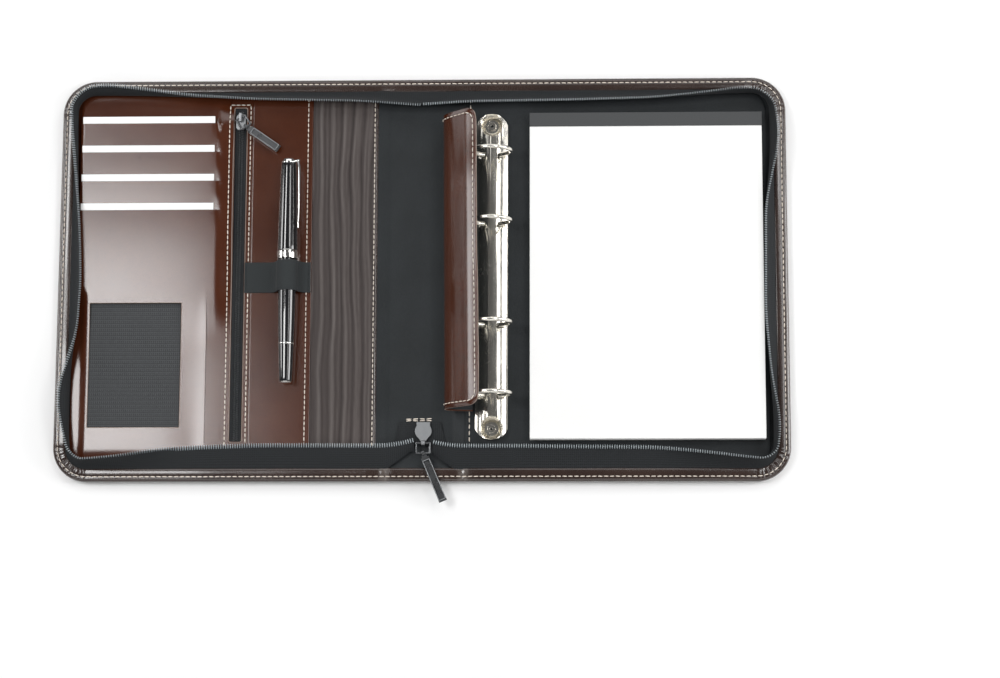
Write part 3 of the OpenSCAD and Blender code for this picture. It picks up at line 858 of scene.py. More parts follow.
def cover_half(name, sign, laps):
    """Half of the padded outer leather, from the fold round the edge to the turned-in border.

    Across the edge it follows a profile of (inset, height): the underside rises towards the edge over
    the foam, with a sewn groove, rolls over the edge and lies back as a crowned border. Round the
    corners the border gathers in radial pleats, and where its strips meet a small lap stands up."""
    s = stations()
    underside = [(22, 0.0), (18, 0.03), (14, 0.2), (10.5, 0.5), (7.5, 0.9), (5.2, 1.28), (4.2, 1.62),
                 (3.5, 1.85), (2.8, 1.78), (1.8, 1.95), (0.9, 2.45), (0.25, 3.2), (0.0, 4.1)]
    border = [(0.2, 5.0), (0.8, 5.9), (1.6, 6.38), (2.4, 6.5), (2.9, 6.44), (3.3, 6.34), (3.7, 6.44),
              (4.6, 6.58), (5.8, 6.64), (7.0, 6.6), (7.9, 6.44), (8.4, 6.1), (8.6, 5.75)]
    a, c, side = ALONG_BOTTOM, ROUND_CORNER, ALONG_SIDE
    in_corner = np.maximum(np.clip(1 - np.abs(s - a - c / 2) / (0.62 * c), 0, 1),
                           np.clip(1 - np.abs(s - a - 1.5 * c - side) / (0.62 * c), 0, 1)) ** 0.6
    beside_fold = (s < 60) | (s > HALF_RUN - 60)
    folding = np.clip(1 - np.abs(np.abs(half_plan(s, 0)[0]) - 26) / 8, 0, 1) * beside_fold
    rows = []
    for inset, height in underside + border:
        x, y = half_plan(s, inset)
        z = np.full_like(x, height)
        on_border = 1.0 if height > 4 and inset > 0.1 else 0.0
        flat = min(1.0, inset / 3) * on_border
        z -= flat * in_corner * 0.6 * (0.5 + 0.5 * np.sin(s * 2 * math.pi / 3.4 + 1.3 * np.sin(s * 0.7))) ** 2
        z += on_border * 0.10 * np.sin(s * 0.11 + sign) * flat
        z -= on_border * folding * 0.5 * flat
        for lap in laps:
            z += on_border * flat * 0.32 * np.clip((s - lap) / 0.5, 0,
                                                   1) * np.exp(-np.clip(s - lap, 0, None) / 9)
        rows.append(np.stack([sign * x, y, z], -1))
    grid = np.stack(rows)
    faces = [tuple(q) for q in grid_quads(*grid.shape[:2])]
    points = grid.reshape(-1, 3)
    along = s[s <= a + 1e-6]
    up = s[(s > a + c - 1e-6) & (s < a + c + side + 1e-6)] - a - c - side / 2
    inner = np.stack(np.meshgrid(sign * along, up, indexing="ij") + [np.zeros((len(along), len(up)))], -1)
    faces += [tuple(q) for q in grid_quads(len(along), len(up)) + len(points)]
    obj = make_mesh(name, np.concatenate([points, inner.reshape(-1, 3)]), faces)
    weld(obj, 0.01)
    normals, centres = faces_of(obj)
    if normals[centres[:, 2] < 1e-5, 2].sum() > 0:
        obj.data.flip_normals()
    x, y, z = (np.array([v.co for v in obj.data.vertices]) / MM).T
    # this mask: edge wear along the rolled edge, plus a painted highlight on the bottom border at the first
    # lap beside the fold, where glare falls
    wear_and_glare = 0.45 * np.clip(1 - np.abs(z - 3.8) / 2.6, 0, 1)
    wear_and_glare += np.clip(1.6 - np.abs(np.abs(x) - laps[0]) / 2.6, 0, 1) * (y < -120) * (z > 4.5)
    layer = obj.data.attributes.new("wear_and_glare", "FLOAT", "POINT")
    layer.data.foreach_set("value", wear_and_glare.astype(np.float32))
    settle(thicken(obj, LEATHER))
    dress(obj, "outer_leather")
    bend(obj)
    return obj


front_skin = cover_half("front_outer_leather", -1, (23.0, 249.6, 467.0))
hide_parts("front_cover_leather", "front_edge_binding", "front_foam_pad", "hinge_leather_front",
            "spine_leather", "spine_edge_binding", "spine_padding")
back_skin = cover_half("back_outer_leather", 1, (27.0, 249.0, 468.0))
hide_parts("back_cover_leather", "back_edge_binding", "back_foam_pad", "hinge_leather_back")


def border_stitches(name, sign):
    """Sewing near the edge, above on the border and below on the underside of one half."""
    s = np.linspace(0.0, HALF_RUN, 900)
    x, y = half_plan(s, STITCH_INSET)
    top = np.stack([sign * x, y, np.full_like(x, 6.44)], -1)
    under = np.stack([sign * x, y, np.full_like(x, 1.72)], -1)
    return bend(dress(stitch_runs(name, [top, under], [UPWARD, DOWNWARD]), "thread"))


border_stitches("front_border_stitches", -1)
border_stitches("back_border_stitches", 1)


# ---- the lining of the spine -----------------------------------------------------


def spine_lining(name, sign, node_names):
    """Half the spine's lining: low between the folds and rising in a soft wedge to the cover's panels."""
    x = np.concatenate([np.arange(0, 18, 2.0), np.arange(18, 32.3, 0.7)])
    y = np.linspace(-HALF_HEIGHT + 7.2, HALF_HEIGHT - 7.2, 120)
    gx, gy = grid_of(x, y)
    rise = np.clip((gx - 19.5) / 9.0, 0, 1)
    z = 3.5 + 1.75 * rise ** 2 * (3 - 2 * rise) + 0.10 * np.sin(gy * 0.045 + 1.0) * np.sin(gx * 0.11)
    z += 1.6 * np.clip((np.abs(gy) - HALF_HEIGHT + 12) / 5, 0, 1) * (1 - rise)
    obj = sheet_from_grid(name, np.stack([sign * gx, gy, z], -1), 0.7)
    dress(obj, "lining")
    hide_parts(*node_names)
    return bend(obj)


spine_lining("front_spine_lining", -1, ["hinge_liner_front", "spine_liner"])
spine_lining("back_spine_lining", 1, ["hinge_liner_back"])

# ---- the zip ----------------------------------------------------------------------

# how far in from the outline the teeth stand, by station: low and flat along the bottom,
# upright along the sides and the top, flopping outward beside the corners
FRONT_LEAN = ([0, 100, 140, 165, 190, 211, 235, 252, 262, 280, 296, 306, 320, 354, 390, 425, 460, 485, 505,
               530, 560, 600, 670, 709],
              [22.4, 22.8, 21.5, 20, 15.5, 13.5, 13, 9.6, 6.3, 4.2, 8.4, 12, 15, 16.2, 14.6, 11.5, 7.8, 8.2,
               5.2, 8.5, 12.4, 14.6, 16, 18.6])
BACK_LEAN = ([0, 60, 150, 180, 205, 225, 245, 262, 290, 330, 400, 425, 440, 455, 475, 490, 505, 530, 560,
              610, 680, 709],
             [22.4, 22.2, 21.2, 18, 15, 13.4, 9.5, 8.2, 13, 15.8, 14.8, 9.8, 6.2, 6.8, 10.5, 11.2, 10, 13.2,
              15.6, 16.6, 17.2, 18.6])


def mouth_shift(s):
    """How the bottom tapes close up on the slider: both run up to it over the last stretch."""
    return np.clip(1 - (s - 2) / 26, 0, 1) ** 2


def tape_lines(sign, lean, s):
    """Root and toothed edge of one half's tape, and the middle that bows between them."""
    inset = eased(s, *lean)
    near = mouth_shift(s)
    rx, ry = half_plan(s, TAPE_ROOT)
    tx, ty = half_plan(s, inset)
    chord = np.abs(inset - TAPE_ROOT)
    lift = np.sqrt(np.clip(TAPE_WIDTH ** 2 - chord ** 2, 9.0, None)) * 0.86
    root = np.stack([sign * rx, ry, np.full_like(rx, TAPE_FOOT)], -1)
    teeth = np.stack([sign * tx, ty, TAPE_FOOT + lift], -1)
    bottom = s < ALONG_BOTTOM
    teeth[:, 1] += np.where(bottom, near * 4.2, 0)
    middle = (root + teeth) / 2
    bow = np.clip(lift / TAPE_WIDTH, 0, 1)
    mx, my = half_plan(s, np.maximum(TAPE_ROOT + (inset - TAPE_ROOT) * 0.72, TAPE_ROOT + 6.0))
    middle[:, 0] = sign * mx
    middle[:, 1] = np.where(s < 60, middle[:, 1], my)
    middle[:, 2] = TAPE_FOOT + lift * np.interp(bow, [0.2, 0.45], [0.75, 0.36])
    return root, middle, teeth


def tape_half(name, sign, lean, node_names, teeth_nodes, start):
    """A strip of zip tape, its section bowed from root to teeth, and the coil along its free edge."""
    s = np.concatenate([np.arange(start, 40, 1.0), np.arange(40, ALONG_BOTTOM, 3.0),
                        np.arange(ALONG_BOTTOM, HALF_RUN - 35, 2.4),
                        np.linspace(HALF_RUN - 35, HALF_RUN, 40)])
    root, middle, teeth = tape_lines(sign, lean, s)
    # the dog-ear beside the slider: the root edge turns in to meet the other tape
    ear = np.clip(1 - (s - 6) / 16, 0, 1) * (s < 60)
    root[:, 1] += ear * 11.5
    middle[:, 1] += ear * 5.5
    root[:, 2] = np.where(ear > 0, TAPE_FOOT + ear * 0.3, root[:, 2])
    t = np.linspace(0, 1, 9)[:, None, None]
    strip = (1 - t) ** 2 * root + 2 * t * (1 - t) * middle + t ** 2 * teeth
    uv = np.stack(np.broadcast_arrays(s[None, :], np.linspace(0, TAPE_WIDTH, 9)[:, None]), -1)
    tape = sheet_from_grid(name, strip, 0.55, uv=uv)
    dress(tape, "zip_tape")
    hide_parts(*node_names)
    bend(tape)

    fine = np.linspace(start, HALF_RUN - 0.5, 2600)
    _, mid, line = tape_lines(sign, lean, fine)
    place, along = even_points(line, TOOTH_PITCH)
    span = sampled(np.linspace(0, 1, len(place)), np.linspace(0, 1, len(fine)), line - mid)
    span = unit(span - (span * along).sum(1, keepdims=True) * along)
    third = np.cross(along, span)
    shape, faces = bean(2.9, 0.78, 1.5)
    shape = shape + [0.15, 0, 0]
    coil = copies(name.replace("tape", "coil"), shape, faces, place, np.stack([span, along, third], 1))
    dress(weld(coil, 0.0002), "zip_teeth")
    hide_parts(*teeth_nodes)
    bend(coil)


tape_half("front_zip_tape_ribbon", -1, FRONT_LEAN, ["front_zip_tape", "spine_zip_tape"],
          ["front_zip_teeth", "spine_zip_teeth"], 3.8)
tape_half("back_zip_tape_ribbon", 1, BACK_LEAN, ["back_zip_tape"], ["back_zip_teeth"], 8.0)


def mouth_tapes():
    """The closed tapes behind the slider: a fan that narrows to the slit in the lining."""
    x = np.linspace(-1, 1, 25)
    y = np.linspace(-107.5, -92.8, 16)
    gx, gy = grid_of(x, y)
    half = 13.5 + 3.6 * np.clip((-gy - 93) / 14, 0, 1) ** 1.4
    px = -0.3 + gx * half
    z = 5.75 - 0.9 * np.clip((gy + 97) / 4.5, 0, 1) + 0.12 * np.cos(px * 0.5)
    z -= 1.5 * smooth((np.abs(px) - 10.5) / 6) * (1 - 0.5 * np.clip((gy + 97) / 4.5, 0, 1))
    grid = np.stack([px, gy, z], -1)
    uv = np.stack([gy, px], -1)
    hole = (np.abs(px[:-1, :-1] + 0.5 - SLIDER_X) < 2.3) & (gy[:-1, :-1] < -104)
    obj = sheet_from_grid("mouth_zip_tape_fan", grid, 0.6, hole=hole, uv=uv)
    return fit(obj, "zip_tape", "spine", "mouth_zip_tape")


mouth_tapes()


def closed_chain():
    """The coil behind the slider, its teeth meshed side by side."""
    y = np.arange(-102.6, -93.4, 0.68)
    place = np.stack([SLIDER_X + 0.45 * (-1.0) ** np.arange(len(y)), y, np.full_like(y, 6.2)], -1)
    axes = np.tile(np.eye(3), (len(y), 1, 1))
    shape, faces = bean(3.4, 0.62, 1.1)
    obj = copies("mouth_coil", shape, faces, place, axes)
    return fit(weld(obj, 0.0002), "zip_teeth", "spine", "mouth_zip_chain")


closed_chain()

bars = [[[-9.6, -90.7, 3.9], [7.6, -90.4, 3.9]], [[7.6, -91.6, 3.9], [-9.6, -91.7, 3.9]]]
tack = stitch_runs("mouth_bar_stitches", bars, [UPWARD] * 2, pitch=4.2, width=0.8, height=0.6, slant=0.12)
fit(tack, "thread", "spine", "mouth_bartack")

# ---- the back cover's lining panel --------------------------------------------------

fit(panel("back_lining_panel", 28.7, 220.6, -121.4, 121.4, 5.15, 5.85, 13.0, 0.3), "lining", "back_cover")
cord_path = np.stack([np.full(40, 28.75), np.linspace(-119, 119, 40), np.full(40, 5.6)], -1)
fit(tube("back_panel_edge_cord", cord_path, 0.32, 6), "lining", "back_cover")
# the seam is seen below and above the flap, which covers the rest of it
seam_runs = [[[31.0, low, 5.86], [31.0, high, 5.86]] for low, high in ((-118, -85.5), (105, 118))]
fit(stitch_runs("back_panel_stitches", seam_runs, [UPWARD] * 2), "thread", "back_cover")

# ---- the organiser in the front cover ------------------------------------------------

CARD_TILT = math.radians(4.5)
CARD_STEP = 19.0
CARD_RIGHT = extent("card_1")[1][0]
CARD_TOP = 105.5
CARD_LENGTH = 54.0
LEFT_END = -223.0
TUCK = -121.7  # the pocket leather's edge along the inner zip
FLAT = 6.5  # height of the leather where nothing lifts it
SLITS = [CARD_TOP - k * CARD_STEP - 4.6 for k in range(4)]
SLIT_END = CARD_RIGHT + 0.9
WINDOW = (-212.0, -153.0, -96.0, -16.0)
SLOT_X = -137.0


def card_plane(k, y):
    """Height of the leather over card k at y: the card's sloping plane plus card and leather."""
    foot = CARD_TOP - CARD_LENGTH * math.cos(CARD_TILT) - (k - 1) * CARD_STEP
    return 5.85 + 1.36 + (y - foot) * math.tan(CARD_TILT)


def lifted(y):
    """Height of the leather over the cards and below them; y a hair above a slit is under the next card."""
    rise = (y + 40 + np.sqrt((y + 40) ** 2 + 64)) / 2
    low = 6.9 + 4.2 * rise / 84.1
    height = low - 1.1 * smooth((-110 - y) / 10)
    for k in (4, 3, 2, 1):
        upper = 6.4 + 1.3 * smooth((119 - y) / 17)
        if k > 1:
            upper = card_plane(k - 1, y)
        height = np.where(y > SLITS[k - 1], upper, height)
    return height


def beside_cards(y):
    """Height of the leather along the inner zip: a little fuller beside the cards, low under the tapes."""
    return FLAT + 2.7 * smooth((y + 12) / 50) * smooth((114 - y) / 13) - 0.65 * smooth((np.abs(y) - 109) / 12)


def leather_height(x, y):
    """Height of the leather: stepped at the slits over the cards, then levelled out, then down to the zip."""
    level = np.mean([lifted(y + w) for w in np.linspace(-9.5, 9.5, 13)], 0)
    even = smooth((x - SLIT_END) / 5.0)
    reach = 1 - smooth((x - SLIT_END - 0.6) / (TUCK - SLIT_END - 0.6))
    over = lifted(y) * (1 - even) + level * even
    return beside_cards(y) + (over - beside_cards(y)) * reach


def pocket_leather():
    """The pockets' one piece of leather, from under the zip tapes to the inner zip.

    Over the cards it follows their sloping planes, one plane between two slits; beside the cards it
    eases down to a flat sheet. A slit is two rows of points at one y, open over the cards' width and
    closed beyond it. A second slit, upright, opens the slip pocket, and a window is cut lower down."""
    x = np.unique(np.round(np.concatenate([
        np.linspace(LEFT_END, -212, 12), np.linspace(-212, -153, 20), np.linspace(-153, SLOT_X - 4, 6),
        SLOT_X + np.array([-2.5, -1.2, -0.5, 0, 0.6]), SLIT_END + np.array([0, 0.8, 1.8]),
        np.linspace(SLIT_END + 3, TUCK, 7)]), 3))
    y = np.unique(np.round(np.concatenate([
        np.linspace(-121, -109, 7), np.linspace(-107.5, -96, 5), np.linspace(-96, -16, 28),
        np.linspace(-16, SLITS[3], 22), np.linspace(SLITS[3], SLITS[0], 31), np.linspace(SLITS[0], 121, 12),
        SLITS, np.array(SLITS) - 0.6]), 3))
    at_slot = np.searchsorted(x, SLOT_X)
    x = np.insert(x, at_slot, SLOT_X)
    left_side = np.arange(len(x)) <= at_slot
    for slit in SLITS:
        row = np.searchsorted(y, round(slit, 3))
        y = np.insert(y, row, y[row])
    rows = [np.where(np.isclose(y, slit, atol=2e-3))[0][0] for slit in SLITS]
    index = np.arange(len(y))
    gx, gy = grid_of(x, y)
    side = np.zeros(len(y))
    side[rows], side[np.array(rows) + 1] = -1e-4, 1e-4
    upper = leather_height(gx, gy + side)
    slip_left = lifted(gy) + 0.30 * np.exp(-((gx - SLOT_X) / 3.0) ** 2)
    near_slot = np.where(left_side[:, None], slip_left, beside_cards(gy) + 0.04)
    share = smooth((-5.0 - gy) / 34)
    z = upper * (1 - share) + near_slot * share
    # under the standing tapes the leather dips to the cover
    z = np.where(gy > -8, z - (z - 6.1) * smooth((-219.5 - gx) / 2.4), z - 1.35 * smooth((-212.2 - gx) / 7.0))
    z = np.maximum(z, 5.72)
    z += 0.09 * np.sin(gx * 0.083 +
                       gy * 0.031) * smooth((-140 - gx) / 10) * (z > 5.9) * smooth((-10 - gy) / 15)
    quad_x = (gx[:-1, :-1] + gx[1:, 1:]) / 2
    quad_y = (gy[:-1, :-1] + gy[1:, 1:]) / 2
    hole = (quad_x > WINDOW[0]) & (quad_x < WINDOW[1]) & (quad_y > WINDOW[2]) & (quad_y < WINDOW[3])
    for row in rows:
        hole |= (index[:-1] == row)[None, :] & (quad_x < SLIT_END)
    hole |= (np.arange(len(x) - 1) == at_slot)[:, None] & (quad_y < -8.5)
    grid = np.stack([gx, gy, z], -1)
    corner = (gx < LEFT_END + 11) & (np.abs(gy) > 110)
    away = np.hypot(np.clip(LEFT_END + 11 - gx, 0, None), np.clip(np.abs(gy) - 110, 0, None))
    hole |= (corner & (away > 11.2))[:-1, :-1]
    return sheet_from_grid("pocket_leather", grid, 0.45, hole=hole, raw_edge=True)


fit(pocket_leather(), "inner_leather", "front_cover", "card_pocket_strips", raw_edge=True)
base = panel("organiser_base", LEFT_END, -109.8, -121, 121, 5.2, 5.68, 12, 0.2)
fit(base, "inner_leather", "front_cover")
COLUMN = (-123.5, -109.4, PANEL_LOW, PANEL_HIGH)
ZIP_WINDOW = (-121.2, -113.6, -105.0, 111.5)
column = frame_panel("zip_pocket_panel", COLUMN, ZIP_WINDOW, 5.7, 6.42, 0.8, 1.4, 0.22)
fit(column, "inner_leather", "front_cover", "card_pocket_panel")


def edge_line(name, x0, x1, y0, y1, height, radius=1.2, width=0.24):
    """A fine burnished bead round a cut-out's edge, at the height the leather has there."""
    plan = rounded_outline(x0, x1, y0, y1, radius)
    plan = np.concatenate([np.linspace(a, b, 8, endpoint=False) for a, b in zip(plan, np.roll(plan, -1, 0))])
    obj = bead(name, np.concatenate([plan, height(plan[:, 0], plan[:, 1])[:, None]], 1), width)
    obj.data.materials.append(RAW_EDGE)
    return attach(obj, "front_cover")


edge_line("zip_window_edge", -121.6, -113.2, -105.4, 111.9, lambda x,
          y: np.where(x < -118, beside_cards(y) - 0.05, 6.42))
edge_line("mesh_window_edge", *WINDOW, lambda x, y: lifted(y) - 0.08, 0.4, 0.2)


def window_cloth():
    """The woven window, stretched behind its opening with a faint slack in the middle."""
    x = np.linspace(-214, -151, 22)
    y = np.linspace(-98, -14, 29)
    gx, gy = grid_of(x, y)
    u, v = (gx + 182.5) / 31.5, (gy + 56) / 42
    z = 6.08 - 0.16 * (1 - u ** 2) * (1 - v ** 2)
    obj = sheet_from_grid("window_mesh_cloth", np.stack([gx, gy, z], -1), 0.25, loose=True)
    return fit(obj, "window_mesh", "front_cover", "id_window_mesh")


window_cloth()

pen_leather = panel("pen_panel_leather", -109.4, -70.5, PANEL_LOW, PANEL_HIGH, 5.2, 6.4, 0.8)
fit(pen_leather, "inner_leather", "front_cover", "pen_panel")


def rippled_cloth():
    """Watered cloth between the pen panel and the spine, standing in low wavering pleats."""
    x = np.linspace(-70.6, -28.8, 96)
    y = np.linspace(PANEL_LOW, PANEL_HIGH, 92)
    gx, gy = grid_of(x, y)
    across = gx + 1.4 * np.sin(gy * 0.021 + 0.6) + 0.5 * np.sin(gy * 0.06)
    calm = np.clip((gx + 70.6) / 4, 0, 1) * np.clip((-31.5 - gx) / 4, 0, 1)
    z = 5.62 + calm * (0.20 * np.sin(across * 2 * math.pi / 7.3) + 0.12 * np.sin(across * 2 * math.pi / 3.4))
    obj = sheet_from_grid("rippled_cloth", np.stack([gx, gy, z], -1), 0.35, loose=True)
    return fit(obj, "moire_cloth", "front_cover", "rippled_lining")


rippled_cloth()
cloth_edge = panel("cloth_edge_binding", -29.6, -28.4, PANEL_LOW, PANEL_HIGH, 5.15, 5.75, 0.4, 0.2)
fit(cloth_edge, "outer_leather", "front_cover")


def straight(x0, y0, x1, y1, z):
    return [[x0, y0, z], [x1, y1, z]]


organiser_runs = [
    straight(-30.6, -108.5, -30.6, 118.5, 5.72),
    straight(-73.6, -108.5, -73.6, 118.5, 6.44),
    [[-124.2, y, leather_height(-124.2, y) + 0.06] for y in np.linspace(-108, 113.6, 90)],
    straight(-111.0, -106.0, -111.0, 113.6, 6.46),
    straight(-124.2, 113.8, -111.0, 113.8, 6.46),
]
organiser_seams = stitch_runs("organiser_stitches", organiser_runs, [UPWARD] * len(organiser_runs), pitch=3.3)
fit(organiser_seams, "thread", "front_cover")

# ---- the inner pocket's zip --------------------------------------------------------------

POCKET_ZIP_X = -117.25


def pocket_zip():
    """The closed inner zip: its flat ribbon and a herringbone coil up the middle."""
    x = np.linspace(-121.0, -113.8, 5)
    y = np.linspace(-105.0, 111.4, 60)
    gx, gy = grid_of(x, y)
    z = np.full_like(gx, 5.98)
    tape = sheet_from_grid("pocket_zip_ribbon", np.stack([gx, gy, z], -1), 0.3, uv=np.stack([gy, gx], -1))
    fit(tape, "zip_tape", "front_cover", "pocket_zip_tape")
    step = 1.15
    count = int((109.5 + 104.6) / step)
    rows = -104.4 + step * np.arange(count)
    places, axes = [], []
    for sign in (-1, 1):
        offset = 0.5 * step if sign > 0 else 0
        places.append(np.stack([np.full(count, POCKET_ZIP_X + sign * 0.8), rows + offset,
                                np.full(count, 6.35)], -1))
        lean = np.array([math.cos(0.3), sign * -math.sin(0.3), 0])
        cross = np.array([-lean[1], lean[0], 0])
        axes.append(np.tile(np.stack([lean, cross, [0, 0, 1.0]]), (count, 1, 1)))
    shape, faces = bean(1.9, 0.72, 0.95)
    coil = copies("pocket_zip_coil", shape, faces, np.concatenate(places), np.concatenate(axes))
    fit(weld(coil, 0.0002), "zip_teeth", "front_cover", "pocket_zip_teeth")
    # the flat closed coil keeps its own near-black, without painted glint
    coil.data.materials[0] = CLOSED_COIL


pocket_zip()

# ---- the pen and its loop -------------------------------------------------------------------

PEN_X, PEN_Z = -85.0, 13.1


def turned(name, profile):
    """A turned piece on the pen's axis: circles of (y, radius), closed at both ends."""
    y, radius = np.array(profile, float).T
    centres = np.stack([np.full_like(y, PEN_X), y, np.full_like(y, PEN_Z)], -1)
    side, top = np.tile([1.0, 0, 0], (len(y), 1)), np.tile([0, 0, 1.0], (len(y), 1))
    return loft(name, hoops(centres, side, top, radius, 48))


def smooth_profile(marks, count):
    """Extra stations along a turned profile, evenly between its marks."""
    return sampled(np.linspace(0, 1, count), np.linspace(0, 1, len(marks)), marks).tolist()


cap_sides = smooth_profile([(71, 4.86), (50, 5.55), (30, 6.1), (17.2, 6.32)], 20)
cap = turned("pen_cap_lacquer",
             [(73.5, 4.3), (73.3, 4.65), (72.6, 4.8)] + cap_sides + [(16.6, 6.3), (16.5, 6.0)])
grip = smooth_profile([(9.5, 5.78), (-1, 5.76), (-24, 5.5), (-43.0, 4.95)], 16)
taper = smooth_profile([(-45, 4.9), (-58, 4.5), (-66.9, 4.12)], 10)
barrel = turned("pen_barrel_lacquer", [(11.0, 5.4), (10.9, 5.7), (10.4, 5.76)] + grip +
                [(-43.1, 4.8), (-43.9, 4.8), (-44.0, 4.93)] + taper + [(-67.5, 4.0), (-67.7, 3.7)])
ring_line = turned("pen_barrel_ring",
                   [(-43.05, 4.6), (-43.1, 5.02), (-43.3, 5.1), (-43.7, 5.1), (-43.9, 5.0), (-43.95, 4.6)])
band = turned("pen_trim_bright",
              [(16.5, 6.0), (16.45, 6.4), (16.1, 6.5), (14.6, 6.52), (14.4, 6.35), (14.2, 6.35),
               (14.0, 6.52), (12.6, 6.5),
                                  (12.4, 6.3), (12.2, 6.3), (12.0, 6.5), (11.3, 6.46), (11.0, 6.1)])
crown = turned("pen_crown",
               [(73.5, 4.2), (73.6, 4.55), (74.1, 4.6), (74.6, 4.45), (74.8, 4.1), (75.1, 4.05), (75.6, 3.9),
                (76.3, 3.2), (76.5, 2.2)])
tip = turned("pen_tip", [(-67.7, 4.0), (-67.8, 4.08), (-68.3, 3.8), (-68.8, 2.9), (-68.9, 2.2)])


CLIP_WAY = (math.cos(math.radians(30)), 0, math.sin(math.radians(30)))  # from the axis to the clip


def from_axis(out, y):
    """Points at distances out from the pen's axis, towards its clip, at places y along it."""
    return np.stack([PEN_X + out * CLIP_WAY[0], y, PEN_Z + out * CLIP_WAY[2]], -1)


def pen_clip():
    """The clip: a bar that bows away from the cap, wider at the top and ending in a small ball."""
    y = np.linspace(74.8, 30.5, 26)
    out = 8.0 - 0.9 * np.exp(-((y - 75) / 3.0) ** 2) + 0.35 * np.sin((75 - y) / 44 * math.pi)
    radius = 0.75 + 0.55 * (y - 30) / 45 + 0.35 * np.exp(-((y - 32) / 1.6) ** 2)
    return tube("pen_clip", from_axis(out, y), radius, 10, squash=0.55, up=CLIP_WAY)


def clip_root():
    """The clip's root, a short arm from the crown to the bar."""
    return tube("pen_clip_root", from_axis(np.linspace(3.6, 8.2, 6), np.full(6, 74.4)), 0.75, 10, squash=1.3,
                up=(0, 1, 0))


for piece in (cap, barrel, ring_line, band, crown, tip, pen_clip(), clip_root()):
    piece.data.set_sharp_from_angle(angle=math.radians(38))
    fit(piece, "pen_lacquer" if piece in (cap, barrel) else "pen_chrome", "pen")
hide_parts("pen_cap")
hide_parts("pen_barrel")
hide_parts("pen_trim")


LOOP_RADIUS = 6.75


def pen_elastic():
    """The elastic loop: flat feet either side, and a band that rises round the pen."""
    rise = [(-113.6, 7.0), (-104, 6.95), (-95.4, 7.0), (-93.8, 8.3), (-92.4, 11.0)]
    turn = np.radians(np.arange(165, -16, -15))
    over = [(PEN_X + LOOP_RADIUS * math.cos(a), PEN_Z + LOOP_RADIUS * math.sin(a)) for a in turn]
    fall = [(-77.6, 11.0), (-76.2, 8.3), (-74.6, 7.0), (-72, 6.95), (-70.4, 7.0)]
    marks = np.array(rise + over + fall)
    run = lengths(marks)
    where = np.linspace(0, run[-1], 90)
    px, pz = np.mean([sampled(where + w, run, marks) for w in (-1.2, 0, 1.2)], 0).T
    y = np.linspace(-9.5, 10.0, 14)
    edge = 1 - np.abs(np.linspace(-1, 1, 14)) ** 6 * 0.06
    grid = np.stack(np.broadcast_arrays(px[:, None], y[None, :], pz[:, None]), -1).copy()
    grid[..., 2] = 7.0 + (grid[..., 2] - 7.0) * edge[None, :] + 0.35
    obj = sheet_from_grid("pen_elastic_band", grid, 0.9)
    return fit(obj, "elastic", "front_cover", "pen_loop")


pen_elastic()
loop_runs = [straight(x, -9.0, x, 9.5, z) for x, z in ((-112.2, 7.4), (-72.0, 7.4), (-95.6, 7.42))]
loop_sewing = stitch_runs("pen_loop_sewing", loop_runs, [UPWARD] * 3, pitch=2.6, width=0.6, height=0.35)
fit(loop_sewing, "elastic", "front_cover")

# ---- the flap over the rings --------------------------------------------------------------------

FLAP_LOW, FLAP_HIGH = -86.0, 103.0
FLAP_MARKS = np.array([(34, 6.35), (30.5, 7.1), (27, 7.7), (19.5, 9.2), (15.4, 12.5), (14.4, 16.7),
                       (16.9, 22.1), (20.6, 26.9), (25, 31.3),
                       (30.0, 36.8), (36.5, 41.0)])


def flap_line(count):
    """The flap's section as an even run of points: its marks smoothed by a short moving average."""
    run = lengths(FLAP_MARKS)
    where = np.linspace(0, run[-1], count)
    line = np.mean([sampled(where + w, run, FLAP_MARKS) for w in (-2.4, -1.2, 0, 1.2, 2.4)], 0)
    tangent = unit(np.gradient(line, axis=0))
    return line, np.stack([-tangent[:, 1], tangent[:, 0]], -1), where, run[-1]


def flap_drift(share, y):
    """How far the raised flap leans over at y: its lower end has slumped a little further across."""
    return 2.6 * share ** 0.5 * (FLAP_HIGH - y) / (FLAP_HIGH - FLAP_LOW)


def flap_slack(share, y):
    """The leather is a little slack: it waves along its length, more towards the free edge."""
    return 0.32 * share ** 2 * (np.sin(y * 0.052 + 0.4) + 0.5 * np.sin(y * 0.13))


def flap_sheet(name, lift, margin):
    """One layer of the flap: its section, offset along its normal and carried along Y, with round corners."""
    line, normal, where, whole = flap_line(46)
    keep = where <= whole - margin
    line, normal, where = line[keep], normal[keep], where[keep]
    left = whole - margin - where
    cut = np.where(left < 8, 8 - np.sqrt(np.clip(64 - (8 - left) ** 2, 0, None)), 0)
    low, high = FLAP_LOW + margin + cut, FLAP_HIGH - margin - cut
    v = np.linspace(0, 1, 60)
    y = low[:, None] + (high - low)[:, None] * v
    slack = flap_slack((where / whole)[:, None], y)
    x = line[:, 0:1] + normal[:, 0:1] * (lift + slack) + flap_drift(where / whole, y.T).T
    z = line[:, 1:2] + normal[:, 1:2] * (lift + slack) + 0.0 * y
    return weld(make_mesh(name, np.stack([x, y, z], -1).reshape(-1, 3), grid_quads(*x.shape)), 0.001,
                outward=False)


def flap_points(lift, where_from_end, y):
    """Points on the flap's outer face, where_from_end back from its free edge."""
    line, normal, where, whole = flap_line(200)
    at = whole - np.asarray(where_from_end, float)
    px, pz = sampled(at, where, line).T
    nx, nz = sampled(at, where, normal).T
    out = lift + flap_slack(at / whole, y)
    px = px + flap_drift(at / whole, y)
    return np.stack([px + nx * out, y, pz + nz * out], -1), np.stack([nx, 0 * nx, nz], -1)


OUTER = -np.sign(flap_line(46)[1][30][0])  # which way along its normal the section's outer side is
flap_outer = flap_sheet("ring_flap_outer", 0.75 * OUTER, 0.0)
flap_inner = flap_sheet("ring_flap_inner", -0.15 * OUTER, 0.9)


